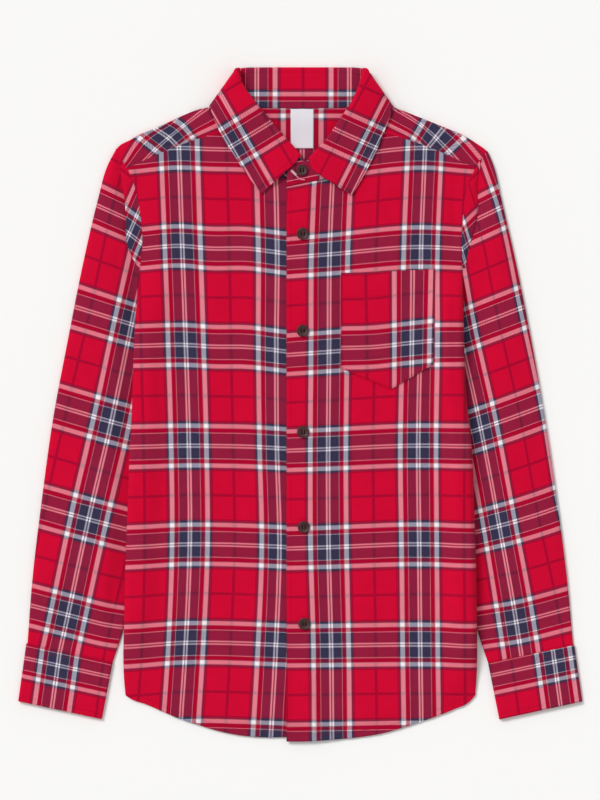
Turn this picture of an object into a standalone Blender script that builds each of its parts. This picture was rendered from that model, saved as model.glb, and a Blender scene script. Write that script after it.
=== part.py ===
"""Long-sleeved flannel shirt, buttoned and laid flat on its back.

Every cut piece is a thin closed solid of its own, set a seam's width from its
neighbours. Tables and sizes are in millimetres and the meshes in metres.
+X runs to the wearer's left sleeve, +Y to the collar and +Z up from the table.
The origin is on the table, under the middle of the chest.
"""
import math
from collections import namedtuple

import bmesh
import bpy
import numpy as np

MM = 0.001

# Cloth thicknesses and the clearances between pieces.
SINGLE = 1.0
DOUBLE = 2.0
GAP = 0.3
SLACK = 0.05
SETBACK = 0.2
CURVED_SETBACK = 0.3
FOLD_STEPS = 4

# Levels of a wall's middle surface above the table.
FLOOR_LEVEL = SINGLE / 2
SECOND_LEVEL = FLOOR_LEVEL + SINGLE + GAP
SLEEVE_CROWN = 3.1
CUFF_FLOOR = DOUBLE / 2
CUFF_TOP = CUFF_FLOOR + DOUBLE + GAP + 2 * SLACK
LEAF_FLOOR = DOUBLE / 2
STAND_FLOOR = LEAF_FLOOR + DOUBLE + GAP

# Lifts of the body over what lies under it, and its own loft.
SIDE_LIFT = 2.6
LOFT = 1.2
NECK_LIFT = 2.8
NECK_CENTRE = 1.5
UNDERARM_Y = 121.0
YOKE_BACK_Y = 190.0

# Runs over which a height grows: where each starts and its length.
Ramp = namedtuple("Ramp", "start length")
SIDE_LIFT_FALL = Ramp(13.0, 20.0)
SIDE_LIFT_HEM = Ramp(-274.0, 62.0)
SIDE_LIFT_BELOW_ARM = Ramp(0.0, 36.0)
BACK_NECK_UP = Ramp(236.0, 26.0)
BACK_NECK_OUT = Ramp(86.0, 22.0)
FRONT_NECK_UP = Ramp(225.0, 45.0)
FRONT_NECK_OUT = Ramp(80.0, 30.0)
LOFT_IN = Ramp(0.0, 22.0)
LOFT_ABOVE_HEM = Ramp(0.0, 24.0)
LOFT_ABOVE_ARM = Ramp(0.0, 29.0)
FOLDS_IN = Ramp(4.0, 20.0)
FOLDS_ABOVE_HEM = Ramp(0.0, 40.0)
FOLD_END_SHARE = 0.25
LAP_RIGHT = Ramp(-32.0, 18.0)
LAP_LEFT = Ramp(18.0, 27.0)
SLEEVE_CROWN_OUT = Ramp(1.0, 16.0)

# The placket: the folded front edge, the left front's way over the right.
PLACKET_EDGE_X = -12.4
PLACKET_WIDTH = 29.0
STRIP_STEP = 0.6
PLACKET_LIFT = 1.8
STAND_LAP_LIFT = DOUBLE + GAP
STAND_RISE = 0.6
LEAF_SETTLE = 0.8
UNDERLAP_X = 16.6
BACK_HEM_RISE = 2.5
# Neck points nearer than this to a panel's corner are left out of its edge.
END_CLEAR = 3.0

# Grid rows of the body: where a run starts at the side, and its cells up to the next.
Row = namedtuple("Row", "y cells")
BODY_ROWS = (Row(-271.5, 4), Row(-208.0, 10), Row(85.0, 3), Row(121.0, 4), Row(190.0, 2), Row(213.4, 0))
BACK_ROWS = 21
BACK_CELLS_ACROSS = 12
# Columns of the body near a side: distance in from the side edge.
SIDE_COLUMNS = (33.0, 23.0, 13.0, 4.0, 0.0)

# Body outline from the shoulder point down the armhole and the side seam.
Edge = namedtuple("Edge", "y right left")
BODY_EDGE = (
    Edge(229.6, -169.6, 172.0),
    Edge(219.0, -162.6, 164.7),
    Edge(207.0, -155.9, 158.2),
    Edge(190.0, -150.4, 152.5),
    Edge(163.0, -145.9, 149.3),
    Edge(145.0, -144.9, 148.8),
    Edge(121.0, -147.2, 149.5),
    Edge(63.0, -151.8, 150.2),
    Edge(0.0, -154.0, 152.8),
    Edge(-37.0, -155.7, 156.7),
    Edge(-115.0, -158.9, 160.1),
    Edge(-193.0, -161.2, 162.0),
    Edge(-262.0, -161.3, 161.8),
    Edge(-271.5, -160.4, 161.2),
)

# Shirt-tail hem: distance out from the centre, then the height on each side.
Hem = namedtuple("Hem", "out right left")
HEM = (
    Hem(-16.0, -309.6, -313.8),
    Hem(10.0, -309.9, -313.6),
    Hem(30.0, -310.4, -312.3),
    Hem(55.0, -308.6, -310.0),
    Hem(77.0, -304.1, -306.3),
    Hem(94.0, -299.0, -301.5),
    Hem(110.0, -293.8, -296.2),
    Hem(127.0, -286.6, -290.4),
    Hem(142.0, -280.1, -284.3),
    Hem(156.0, -275.2, -277.4),
    Hem(161.3, -271.5, -271.5),
)

# Shoulder fold from the shoulder point to the neck, out from the neck centre.
Point = namedtuple("Point", "x y")
SHOULDER = (
    Point(170.5, 229.6),
    Point(167.2, 234.2),
    Point(158.5, 239.0),
    Point(142.5, 244.9),
    Point(128.0, 250.4),
    Point(106.0, 260.3),
    Point(94.0, 264.7),
    Point(83.0, 267.0),
    Point(72.0, 270.8),
    Point(64.6, 275.8),
)

# Grid rows of the yoke's back layer, as shares of its height, and cells along a front seam.
YOKE_BACK_SHARES = (0.0, 0.25, 0.5, 0.66, 0.82, 1.0)
YOKE_SEAM_CELLS = 4

# Front yoke seam from the armhole to the neck, out from the neck centre.
YOKE_SEAM = (
    Point(160.0, 213.4),
    Point(144.0, 220.5),
    Point(128.0, 227.8),
    Point(110.0, 234.8),
    Point(92.0, 241.0),
    Point(76.0, 246.0),
    Point(58.2, 251.6),
)

# Sleeve silhouettes from the armhole down to the last point above the cuff seam.
OUTER_RIGHT = (
    Point(-169.8, 229.4), Point(-176.6, 216.2), Point(-185.8, 184.0), Point(-198.7, 128.8),
    Point(-213.4, 55.2), Point(-227.2, -18.4), Point(-237.4, -92.0), Point(-246.1, -165.6),
)
INNER_RIGHT = (
    Point(-147.6, 121.0), Point(-150.2, 92.0), Point(-148.0, 62.0), Point(-143.6, 20.0),
    Point(-144.4, -36.8), Point(-149.0, -110.4), Point(-156.4, -179.4), Point(-162.6, -211.0),
)
OUTER_LEFT = (
    Point(172.2, 229.4), Point(177.6, 216.2), Point(185.2, 184.0), Point(197.8, 128.8),
    Point(212.5, 55.2), Point(225.4, -18.4), Point(236.2, -92.0), Point(245.6, -165.6),
)
INNER_LEFT = (
    Point(149.9, 121.0), Point(150.4, 92.0), Point(147.2, 62.0), Point(142.2, 20.0),
    Point(144.9, -36.8), Point(150.4, -110.4), Point(157.2, -179.4), Point(163.0, -211.0),
)

# Sleeve grid: shares of the length near the armhole, then even cells to the cuff.
SLEEVE_HEAD_SHARES = (0.0, 0.018, 0.036, 0.06, 0.09, 0.13)
SLEEVE_CELLS = 10
SLEEVE_CELLS_ACROSS = 7

# Cuff corners: the seam with the sleeve, then the edge at the hand.
Cuff = namedtuple("Cuff", "inner_seam outer_seam inner_edge outer_edge")
CUFF_RIGHT = Cuff(Point(-172.1, -240.9), Point(-251.6, -223.6),
                  Point(-182.2, -293.3), Point(-259.1, -276.8))
CUFF_LEFT = Cuff(Point(172.9, -241.7), Point(252.2, -225.2),
                 Point(183.2, -293.6), Point(259.6, -277.0))
CUFF_OVERHANG = 1.0
CUFF_CELLS = 3
CUFF_CELLS_ACROSS = 6

# Collar stations from the centre back round to the front. The neck edge and
# the seam bound the stand, the roll is the fold line and free is the leaf's edge.
Station = namedtuple("Station", "neck seam roll free")
COLLAR_BACK = (
    Station(Point(0.0, 268.0), Point(0.0, 296.2), Point(0.0, 304.9), Point(0.0, 259.5)),
    Station(Point(27.0, 268.4), Point(25.0, 296.2), Point(26.0, 304.9), Point(33.0, 260.2)),
    Station(Point(51.0, 270.9), Point(44.5, 295.3), Point(48.0, 304.7), Point(66.0, 263.6)),
)
COLLAR_RIGHT = (
    Station(Point(-63.5, 276.0), Point(-55.1, 293.6), Point(-58.2, 303.6), Point(-83.0, 269.2)),
    Station(Point(-63.0, 270.6), Point(-54.8, 289.3), Point(-53.4, 298.0), Point(-81.2, 264.2)),
    Station(Point(-61.0, 264.0), Point(-52.6, 282.6), Point(-47.4, 287.4), Point(-78.4, 257.2)),
    Station(Point(-56.6, 253.0), Point(-44.8, 271.4), Point(-41.2, 275.4), Point(-71.3, 241.5)),
    Station(Point(-47.5, 236.5), Point(-33.3, 256.0), Point(-29.7, 260.0), Point(-60.5, 225.0)),
    Station(Point(-34.5, 217.8), Point(-18.2, 238.4), Point(-15.2, 242.0), Point(-48.3, 206.2)),
    Station(Point(-18.4, 206.6), Point(-1.4, 222.2), Point(0.3, 224.6), Point(-35.3, 189.4)),
)
COLLAR_LEFT = (
    Station(Point(66.5, 276.0), Point(58.3, 292.9), Point(60.8, 302.8), Point(85.2, 269.0)),
    Station(Point(66.0, 270.6), Point(57.9, 288.9), Point(56.4, 297.4), Point(83.8, 264.2)),
    Station(Point(64.0, 264.0), Point(55.8, 282.0), Point(51.0, 286.6), Point(81.4, 257.2)),
    Station(Point(59.8, 253.0), Point(50.2, 270.4), Point(46.6, 273.8), Point(75.4, 242.0)),
    Station(Point(51.0, 236.5), Point(41.0, 254.6), Point(37.8, 258.2), Point(68.2, 225.0)),
    Station(Point(38.5, 217.8), Point(27.6, 236.4), Point(25.0, 239.6), Point(58.8, 206.6)),
    Station(Point(22.1, 206.6), Point(9.8, 219.4), Point(8.8, 221.6), Point(48.0, 188.0)),
)
# The stand goes on past the leaf's front edge, neck edge then top edge.
StandEnd = namedtuple("StandEnd", "neck seam")
STAND_END_RIGHT = (
    StandEnd(Point(-4.0, 202.9), Point(4.0, 220.6)),
    StandEnd(Point(15.0, 205.2), Point(13.6, 219.0)),
)
STAND_END_LEFT = (
    StandEnd(Point(6.0, 202.9), Point(2.0, 219.6)),
    StandEnd(Point(-12.4, 202.8), Point(-11.4, 218.6)),
)
# The side crease: how far the leaf and the stand turn in, and their ways across it.
CREASE_REACH = 2.5
STAND_CREASE_REACH = 1.2
LEAF_WAY = Point(0.78, 0.62)
STAND_WAY = Point(0.9, 0.43)
ROLL_RADIUS = (STAND_FLOOR - LEAF_FLOOR) / 2
CREASE_ROLL = 3.3
CREASE_BULGE = 3.0
COLLAR_BACK_CELLS = 5
COLLAR_FRONT_CELLS = 10
STAND_CELLS = 3
LEAF_CELLS = 5
# The leaf's seam gap over the stand, and how much it opens where both fold at the side.
LEAF_GAP = 0.4
LEAF_SIDE_GAP = 0.9
LEAF_SIDE_OUT = 46.0
LEAF_SIDE_RUN = 6.0

# Chest pocket corners on the left front, and the neck label's corners.
POCKET_TOP = (Point(37.4, 116.6), Point(124.0, 120.1))
POCKET_BASE = (Point(37.7, 28.9), Point(83.9, 10.1), Point(121.9, 32.2))
LABEL_TOP = (Point(-8.5, 267.2), Point(12.4, 267.2))
LABEL_BASE = (Point(-8.4, 231.4), Point(12.3, 231.4))
POCKET_HALF_CELLS = 4
POCKET_ROWS = 7
LABEL_CELLS = 2
LABEL_ROWS = 9

# Buttons down the placket, the collar button first.
BUTTONS = (
    Point(1.7, 211.0), Point(2.8, 152.5), Point(2.8, 63.5),
    Point(3.2, -29.4), Point(3.7, -116.8), Point(4.3, -205.6),
)
# Half section of a button, from the middle of its base round to its dished middle.
Turning = namedtuple("Turning", "radius height")
BUTTON_PROFILE = (
    Turning(0.0, 0.0), Turning(5.35, 0.0), Turning(6.35, 0.8), Turning(6.35, 1.7),
    Turning(5.65, 2.4), Turning(4.75, 2.3), Turning(4.15, 1.7), Turning(0.0, 1.7),
)
BUTTON_SIDES = 16
BUTTON_HOLES = 4
BUTTON_HOLE_RADIUS = 0.8
BUTTON_HOLE_OUT = 1.84
BUTTON_HOLE_SIDES = 6
DRILL_LENGTH = 10.0
WELD = 0.02
SHARP_ANGLE = 40

# Soft folds of the fronts: two ends, half width and height of each ridge.
Fold = namedtuple("Fold", "x0 y0 x1 y1 half height")
FRONT_FOLDS = (
    Fold(-122.0, 205.0, -132.0, -40.0, 17.0, 0.9),
    Fold(-78.0, 170.0, -92.0, -250.0, 19.0, 0.8),
    Fold(-40.0, 190.0, -46.0, -190.0, 14.0, 0.7),
    Fold(55.0, 195.0, 60.0, -270.0, 16.0, 0.8),
    Fold(100.0, 190.0, 96.0, -120.0, 18.0, 0.7),
    Fold(131.0, 150.0, 136.0, -150.0, 14.0, 0.9),
)
# The sleeve head's tuck: how far out of the armhole, its width, depth and top.
TUCK_OUT = 13.0
TUCK_HALF = 6.0
TUCK_DEPTH = 0.9
TUCK_TOP_Y = 226.0
TUCK_BELOW_TOP = Ramp(0.0, 30.0)

RED = (0.60, 0.012, 0.035)
WHITE = (0.85, 0.84, 0.82)
BROWN = (0.045, 0.022, 0.016)
CLOTH_ROUGHNESS = 0.9
BUTTON_ROUGHNESS = 0.35


# ---------------------------------------------------------------- curves

def ease(t):
    """Smooth step from 0 to 1."""
    t = np.clip(t, 0.0, 1.0)
    return t * t * (3.0 - 2.0 * t)


def grown(place, ramp):
    """Share of a ramp grown at a place: 0 before its start and 1 past its end."""
    return ease((place - ramp.start) / ramp.length)


def even(cells):
    """Fractions from 0 to 1 at the ends of some even cells."""
    return np.linspace(0.0, 1.0, cells + 1)


def smooth_values(knots, values, at):
    """Read a smooth curve through values at rising knots, at the places in at."""
    knots = np.asarray(knots, float)
    values = np.asarray(values, float)
    at = np.asarray(at, float)
    slopes = np.gradient(values, knots)
    place = np.clip(np.searchsorted(knots, at) - 1, 0, len(knots) - 2)
    width = knots[place + 1] - knots[place]
    t = (np.clip(at, knots[0], knots[-1]) - knots[place]) / width
    start = (1 + 2 * t) * (1 - t) ** 2 * values[place] + t * (1 - t) ** 2 * width * slopes[place]
    end = t * t * (3 - 2 * t) * values[place + 1] + t * t * (t - 1) * width * slopes[place + 1]
    return start + end


def along(points, fractions):
    """Points at fractions of the length of a smooth curve through points."""
    points = np.asarray(points, float)
    steps = np.linalg.norm(np.diff(points, axis=0), axis=1)
    lengths = np.concatenate(([0.0], np.cumsum(steps)))
    at = np.asarray(fractions, float) * lengths[-1]
    return np.stack([smooth_values(lengths, points[:, axis], at) for axis in (0, 1)], axis=-1)


def unit(vector):
    """Vector of length one."""
    return vector / np.linalg.norm(vector)


def straight(start, end, fractions):
    """Points at fractions of a straight line."""
    start = np.asarray(start, float)
    return start + np.asarray(fractions, float)[:, None] * (np.asarray(end, float) - start)


def patch(bottom, top, first, last, share=None):
    """Fill a four-sided outline with a grid: rows from bottom to top, columns first to last.

    share gives each row's part of the way up, or the rows are evenly spread.
    """
    u = np.linspace(0, 1, len(bottom))[None, :, None]
    v = (even(len(first) - 1) if share is None else share)[:, None, None]
    across = (1 - v) * bottom[None] + v * top[None]
    upward = (1 - u) * first[:, None] + u * last[:, None]
    corners = (1 - v) * ((1 - u) * bottom[0] + u * bottom[-1]) + v * ((1 - u) * top[0] + u * top[-1])
    return across + upward - corners


# ---------------------------------------------------------------- heights

def edge_x(y, side):
    """The body's outline x at height y: side -1 is the wearer's right, 1 the left."""
    rows = BODY_EDGE[::-1]
    name = "right" if side < 0 else "left"
    return smooth_values([row.y for row in rows], [getattr(row, name) for row in rows], y)


def hem_y(x, side):
    """Height of the front hem at x."""
    name = "right" if side < 0 else "left"
    return smooth_values([row.out for row in HEM], [getattr(row, name) for row in HEM], x * side)


def inside(x, y):
    """Distance in from the nearer side of the body, negative out over the sleeve."""
    return np.minimum(x - edge_x(y, -1), edge_x(y, 1) - x)


def side_lift(x, y):
    """Rise of the body where it lies on the sleeves' inner edges."""
    span = grown(UNDERARM_Y - y, SIDE_LIFT_BELOW_ARM) * grown(y, SIDE_LIFT_HEM)
    return SIDE_LIFT * span * (1.0 - grown(inside(x, y), SIDE_LIFT_FALL))


def back_level(x, y):
    """Middle of the back and of the yoke's under layer."""
    out = np.abs(x - NECK_CENTRE)
    neck = NECK_LIFT * grown(y, BACK_NECK_UP) * (1.0 - grown(out, BACK_NECK_OUT))
    return FLOOR_LEVEL + side_lift(x, y) + neck


def seam_loft(y):
    """Loft at the armhole seam, none at the underarm."""
    return grown(y - UNDERARM_Y, LOFT_ABOVE_ARM)


def fold_height(x, y, folds):
    """Height of the soft ridges at a place."""
    total = np.zeros(np.broadcast(x, y).shape)
    for fold in folds:
        run = np.array([fold.x1 - fold.x0, fold.y1 - fold.y0])
        length = np.linalg.norm(run)
        run = run / length
        down = ((x - fold.x0) * run[0] + (y - fold.y0) * run[1]) / length
        off = (x - fold.x0) * run[1] - (y - fold.y0) * run[0]
        ends = ease(down / FOLD_END_SHARE) * ease((1.0 - down) / FOLD_END_SHARE)
        total = total + fold.height * ends * np.exp(-(off / fold.half) ** 2)
    return total


def front_level(x, y):
    """Middle of the fronts and of the yoke's upper layer, before the placket's lap."""
    out = np.abs(x - NECK_CENTRE)
    neck = NECK_LIFT * grown(y, FRONT_NECK_UP) * (1.0 - grown(out, FRONT_NECK_OUT))
    depth = inside(x, y)
    hem = np.where(x < PLACKET_EDGE_X, hem_y(x, -1), hem_y(x, 1))
    loft = np.maximum(grown(depth, LOFT_IN), seam_loft(y)) * grown(y - hem, LOFT_ABOVE_HEM)
    folds = fold_height(x, y, FRONT_FOLDS) * grown(depth, FOLDS_IN) * grown(y - hem, FOLDS_ABOVE_HEM)
    return SECOND_LEVEL + side_lift(x, y) + neck + LOFT * loft + folds


def lap(x):
    """Share of the placket's lift: whole on the placket, none away from it."""
    return grown(x, LAP_RIGHT) * (1.0 - grown(x, LAP_LEFT))


def over_front_level(x, y):
    """Middle of the left front, which laps over the right one."""
    return front_level(x, y) + PLACKET_LIFT * lap(x)


def sleeve_level(x, y):
    """Middle of a sleeve's upper layer."""
    out = -inside(x, y)
    seam = SECOND_LEVEL + LOFT * seam_loft(y)
    tuck_span = seam_loft(y) * grown(TUCK_TOP_Y - y, TUCK_BELOW_TOP)
    tuck = TUCK_DEPTH * tuck_span * np.exp(-((out - TUCK_OUT) / TUCK_HALF) ** 2)
    return seam + (SLEEVE_CROWN - seam) * grown(out, SLEEVE_CROWN_OUT) - tuck


def leaf_level(x, y):
    """Middle of the collar leaf where it lies on the fronts."""
    return front_level(x, y) + STAND_RISE + STAND_LAP_LIFT * (1.0 + lap(x))


# ---------------------------------------------------------------- solids

def material(name, colour, roughness):
    """A plain Principled material."""
    made = bpy.data.materials.new(name)
    made.use_nodes = True
    shader = made.node_tree.nodes["Principled BSDF"]
    shader.inputs["Base Color"].default_value = (*colour, 1.0)
    shader.inputs["Roughness"].default_value = roughness
    shader.inputs["Metallic"].default_value = 0.0
    return made


def grid_faces(rows, columns, closed_rows=False):
    """Quads of a grid of points, row by row; closed_rows joins the last row to the first."""
    faces = []
    for row in range(rows if closed_rows else rows - 1):
        above = (row + 1) % rows
        for column in range(columns - 1):
            faces.append((row * columns + column, row * columns + column + 1,
                          above * columns + column + 1, above * columns + column))
    return faces


def cloth(name, points, thickness, colour, faces=None, closed_rows=False, double_columns=()):
    """Thicken a grid of middle points, rows x columns x 3 in millimetres, into a closed wall."""
    rows, columns = points.shape[:2]
    faces = faces or grid_faces(rows, columns, closed_rows)
    used = sorted({corner for face in faces for corner in face})
    renumber = {old: new for new, old in enumerate(used)}
    flat = points.reshape(-1, 3) * MM
    mesh = bpy.data.meshes.new(name)
    mesh.from_pydata([tuple(flat[corner]) for corner in used], [],
                     [tuple(renumber[corner] for corner in face) for face in faces])
    mesh.shade_smooth()
    mesh.materials.append(material(name + "_cloth", colour, CLOTH_ROUGHNESS))
    piece = bpy.data.objects.new(name, mesh)
    bpy.context.scene.collection.objects.link(piece)
    wall = piece.modifiers.new("wall", "SOLIDIFY")
    wall.thickness = (DOUBLE if double_columns else thickness) * MM
    wall.offset = 0.0
    wall.use_even_offset = False
    wall.use_quality_normals = True
    if double_columns:
        group = piece.vertex_groups.new(name="doubled")
        doubled = [renumber[row * columns + column] for row in range(rows) for column in double_columns]
        group.add(doubled, 1.0, "REPLACE")
        wall.vertex_group = "doubled"
        wall.thickness_vertex_group = thickness / DOUBLE
    return piece


def lift_points(plan, level):
    """Add heights to a plan of x and y points."""
    heights = level(plan[..., 0], plan[..., 1]) if callable(level) else np.full(plan.shape[:-1], level)
    return np.concatenate((plan, heights[..., None]), axis=-1)


def turned_edge(rim, low_row, high_row, low_level, high_level, thickness):
    """Rows of a fold that turns from the low layer up to the high one at a silhouette rim."""
    low_in = low_row - rim
    high_in = high_row - rim
    low_in = low_in / np.linalg.norm(low_in, axis=-1, keepdims=True)
    high_in = high_in / np.linalg.norm(high_in, axis=-1, keepdims=True)
    radius = (high_level - low_level)[:, None] / 2
    rows = []
    for step in range(FOLD_STEPS + 1):
        angle = math.pi * (step / FOLD_STEPS - 0.5)
        share = (1 + math.sin(angle)) / 2
        inward = (1 - share) * low_in + share * high_in
        plan = rim + inward * (thickness / 2 + radius * (1 - math.cos(angle)))
        height = low_level + (high_level - low_level) * share
        rows.append(np.concatenate((plan, height[:, None]), axis=-1))
    return np.stack(rows)


def flat_tube(name, plan, low, level, thickness, colour):
    """A tube pressed flat: plan rows run from its inner to its outer silhouette."""
    inner = plan[0]
    outer = plan[-1]
    low_row = np.full(len(inner), low)
    outer_high = level(outer[:, 0], outer[:, 1])
    inner_high = level(inner[:, 0], inner[:, 1])
    outer_fold = turned_edge(outer, plan[-2], plan[-2], low_row, outer_high, thickness)
    inner_fold = turned_edge(inner, plan[1], plan[1], low_row, inner_high, thickness)
    under = lift_points(plan[1:-1], low)
    upper = lift_points(plan[1:-1][::-1], level)
    ring = np.concatenate((under, outer_fold, upper, inner_fold[::-1]))
    return cloth(name, ring, thickness, colour, closed_rows=True)


# ---------------------------------------------------------------- panels

def side_points(heights, side, setback):
    """Points on the body's outline at some heights, set back from it."""
    heights = np.asarray(heights, float)
    return np.stack((edge_x(heights, side) - side * setback, heights), axis=-1)


def row_heights():
    """Heights of the body's grid rows at its side, from the hem to the yoke seam."""
    heights = [BODY_ROWS[0].y]
    for low, high in zip(BODY_ROWS, BODY_ROWS[1:]):
        heights.extend(low.y + (high.y - low.y) * even(low.cells)[1:])
    return np.array(heights)


def away(points, distance, side):
    """Move neck points out of the neck: down at the front and outward at the side."""
    points = np.asarray(points, float)
    tangent = np.gradient(points, axis=0)
    tangent = tangent / np.linalg.norm(tangent, axis=1, keepdims=True)
    normal = np.stack((tangent[:, 1], -tangent[:, 0]), axis=-1) * side
    return points + distance * normal


def neck_run(side):
    """The stand's neck edge from its front end to the side crease."""
    run = [neck for neck, _seam, turn in stand_run(side) if turn == 1.0]
    return np.array(run[::-1])


def yoke_seam(side, setback):
    """The front yoke seam from the neck to the armhole, set back from it."""
    points = [Point(NECK_CENTRE + side * row.x, row.y + setback) for row in reversed(YOKE_SEAM)]
    length = sum(math.dist(one, two) for one, two in zip(points, points[1:]))
    inner = even(YOKE_SEAM_CELLS) * (1 - SIDE_COLUMNS[0] / length)
    outer = [1 - distance / length for distance in SIDE_COLUMNS[1:]]
    return along(points, np.concatenate((inner, outer)))


def front_top(side, start_x):
    """Top edge of a front: its neckline, then its yoke seam."""
    run = neck_run(side)
    seam = yoke_seam(side, -SETBACK)
    ahead = (run[:, 0] - start_x) * side > END_CLEAR
    below = run[:, 1] < seam[0][1] - END_CLEAR
    start_y = np.interp(start_x * side, run[:, 0] * side, run[:, 1])
    neckline = np.concatenate(([(start_x, start_y)], run[ahead & below], seam[:1]))
    neckline[:-1] = away(neckline, CURVED_SETBACK, side)[:-1]
    neckline[0, 0] = start_x
    neckline[-1] = neckline[-1] + np.array([side * CURVED_SETBACK, 0.0])
    seam[-1] = side_points(seam[-1:, 1], side, CURVED_SETBACK)[0]
    return np.concatenate((neckline, seam[1:]))


def front_plan(side, start_x):
    """Plan of a front from its centre edge to its side and armhole."""
    top = front_top(side, start_x)
    heights = row_heights()
    heights[-1] = top[-1][1]
    column = side_points(heights, side, CURVED_SETBACK)
    width = abs(column[0][0] - start_x)
    near = [1 - distance / width for distance in SIDE_COLUMNS]
    cells = len(top) - len(SIDE_COLUMNS)
    spread = np.concatenate((even(cells)[:-1] * near[0], near))
    x = start_x + (column[0][0] - start_x) * spread
    bottom = np.stack((x, hem_y(x, side)), axis=-1)
    share = (heights - heights[0]) / (heights[-1] - heights[0])
    return patch(bottom, top, straight(bottom[0], top[0], share), column, share)


def make_back():
    """The back: on the table in the middle, up over the sleeves at the sides."""
    heights = row_heights()[:BACK_ROWS + 1]
    heights[0] += BACK_HEM_RISE
    heights[-1] -= SETBACK
    first = side_points(heights, -1, CURVED_SETBACK)
    last = side_points(heights, 1, CURVED_SETBACK)
    width = last[0][0] - first[0][0]
    near = np.array(SIDE_COLUMNS) / width
    middle = near[0] + (1 - 2 * near[0]) * even(BACK_CELLS_ACROSS)[1:-1]
    spread = np.concatenate((near[::-1], middle, 1 - near))
    x = first[0][0] + width * spread
    hem = np.where(x < 0, hem_y(x, -1), np.minimum(hem_y(x, 1), hem_y(-x, -1))) + BACK_HEM_RISE
    bottom = np.stack((x, hem), axis=-1)
    bottom[0] = first[0]
    bottom[-1] = last[0]
    top = first[-1] + (last[-1] - first[-1]) * spread[:, None]
    share = (heights - heights[0]) / (heights[-1] - heights[0])
    plan = patch(bottom, top, first, last, share)
    return cloth("back", lift_points(plan, back_level), SINGLE, RED)


def make_front_right():
    """The button side, under the other front."""
    plan = front_plan(-1, UNDERLAP_X)
    return cloth("front_right", lift_points(plan, front_level), SINGLE, RED)


def make_front_left():
    """The buttonhole side: a single panel with its front edge folded double."""
    strip_end = PLACKET_EDGE_X + PLACKET_WIDTH
    panel = front_plan(1, strip_end + STRIP_STEP)
    share = (panel[:, 0, 1] - panel[0, 0, 1]) / (panel[-1, 0, 1] - panel[0, 0, 1])
    neck = neck_run(1)
    strip = []
    for x in (PLACKET_EDGE_X, STAND_END_LEFT[0].neck.x, strip_end):
        top_y = np.interp(x, neck[:, 0], neck[:, 1]) - CURVED_SETBACK - SLACK
        strip.append(straight((x, float(hem_y(x, 1))), (x, top_y), share))
    plan = np.concatenate((np.stack(strip, axis=1), panel), axis=1)
    points = lift_points(plan, over_front_level)
    return cloth("front_left", points, SINGLE, RED, double_columns=(0, 1, 2))


def yoke_wing(side, share):
    """Points of one side of the yoke: back layer, shoulder fold, then the front flap."""
    front_edge = yoke_seam(side, SETBACK)[::-1]
    cells = len(front_edge) - 1
    fold = [Point(NECK_CENTRE + side * row.x, row.y) for row in SHOULDER]
    rim = along(fold, even(cells))
    seam_y = YOKE_BACK_Y + SETBACK
    low_first = side_points(seam_y + (rim[0][1] - seam_y) * share, side, CURVED_SETBACK)
    rim[0] = low_first[-1]
    low_bottom = straight(low_first[0], (rim[-1][0], seam_y), even(cells))
    low = patch(low_bottom, rim, low_first, straight(low_bottom[-1], rim[-1], share), share)
    run = neck_run(side)
    neck_side = away(run[run[:, 1] > front_edge[-1][1] + END_CLEAR], CURVED_SETBACK, side)[::-1]
    neck_side[0] = rim[-1]
    front_edge[-1] = front_edge[-1] + np.array([side * CURVED_SETBACK, 0.0])
    high_last = np.concatenate((neck_side, front_edge[-1:]))
    down = np.linalg.norm(np.diff(high_last, axis=0), axis=1)
    high_share = np.concatenate(([0.0], np.cumsum(down))) / down.sum()
    high_y = rim[0][1] + (front_edge[0][1] - rim[0][1]) * high_share
    high_first = side_points(high_y, side, CURVED_SETBACK)
    front_edge[0] = high_first[-1]
    high = patch(rim, front_edge, high_first, high_last, high_share)
    turn = turned_edge(rim, low[-2], high[1], back_level(rim[:, 0], rim[:, 1]),
                       front_level(rim[:, 0], rim[:, 1]), SINGLE)
    return np.concatenate((lift_points(low[:-1], back_level), turn, lift_points(high[1:], front_level)))


def make_yoke():
    """The yoke: back layer, folded over each shoulder to the two front seams."""
    share = np.array(YOKE_BACK_SHARES)
    back_rows = len(share)
    right = yoke_wing(-1, share)
    left = yoke_wing(1, share)
    back_neck = [neck for neck, _seam, turn in stand_run(-1) if turn == 0.0][::-1]
    back_neck += [neck for neck, _seam, turn in stand_run(1) if turn == 0.0][1:]
    neck_edge = np.array(back_neck) - np.array([0.0, CURVED_SETBACK])
    neck_edge[0] = right[back_rows - 1, -1, :2]
    neck_edge[-1] = left[back_rows - 1, -1, :2]
    gap_cells = len(neck_edge) - 1
    bottom = straight(right[0, -1, :2], left[0, -1, :2], even(gap_cells))
    centre = patch(bottom, neck_edge, right[:back_rows, -1, :2], left[:back_rows, -1, :2], share)
    middle = np.zeros((len(right), gap_cells - 1, 3))
    middle[:back_rows] = lift_points(centre, back_level)[:, 1:-1]
    points = np.concatenate((right, middle, left[:, ::-1]), axis=1)
    columns = points.shape[1]
    wing_cells = right.shape[1] - 1
    faces = []
    for face in grid_faces(len(points), columns):
        row, column = divmod(face[0], columns)
        over_neck = row >= back_rows - 1 and wing_cells <= column < wing_cells + gap_cells
        if not over_neck:
            faces.append(face)
    return cloth("yoke", points, SINGLE, RED, faces=faces)


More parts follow.
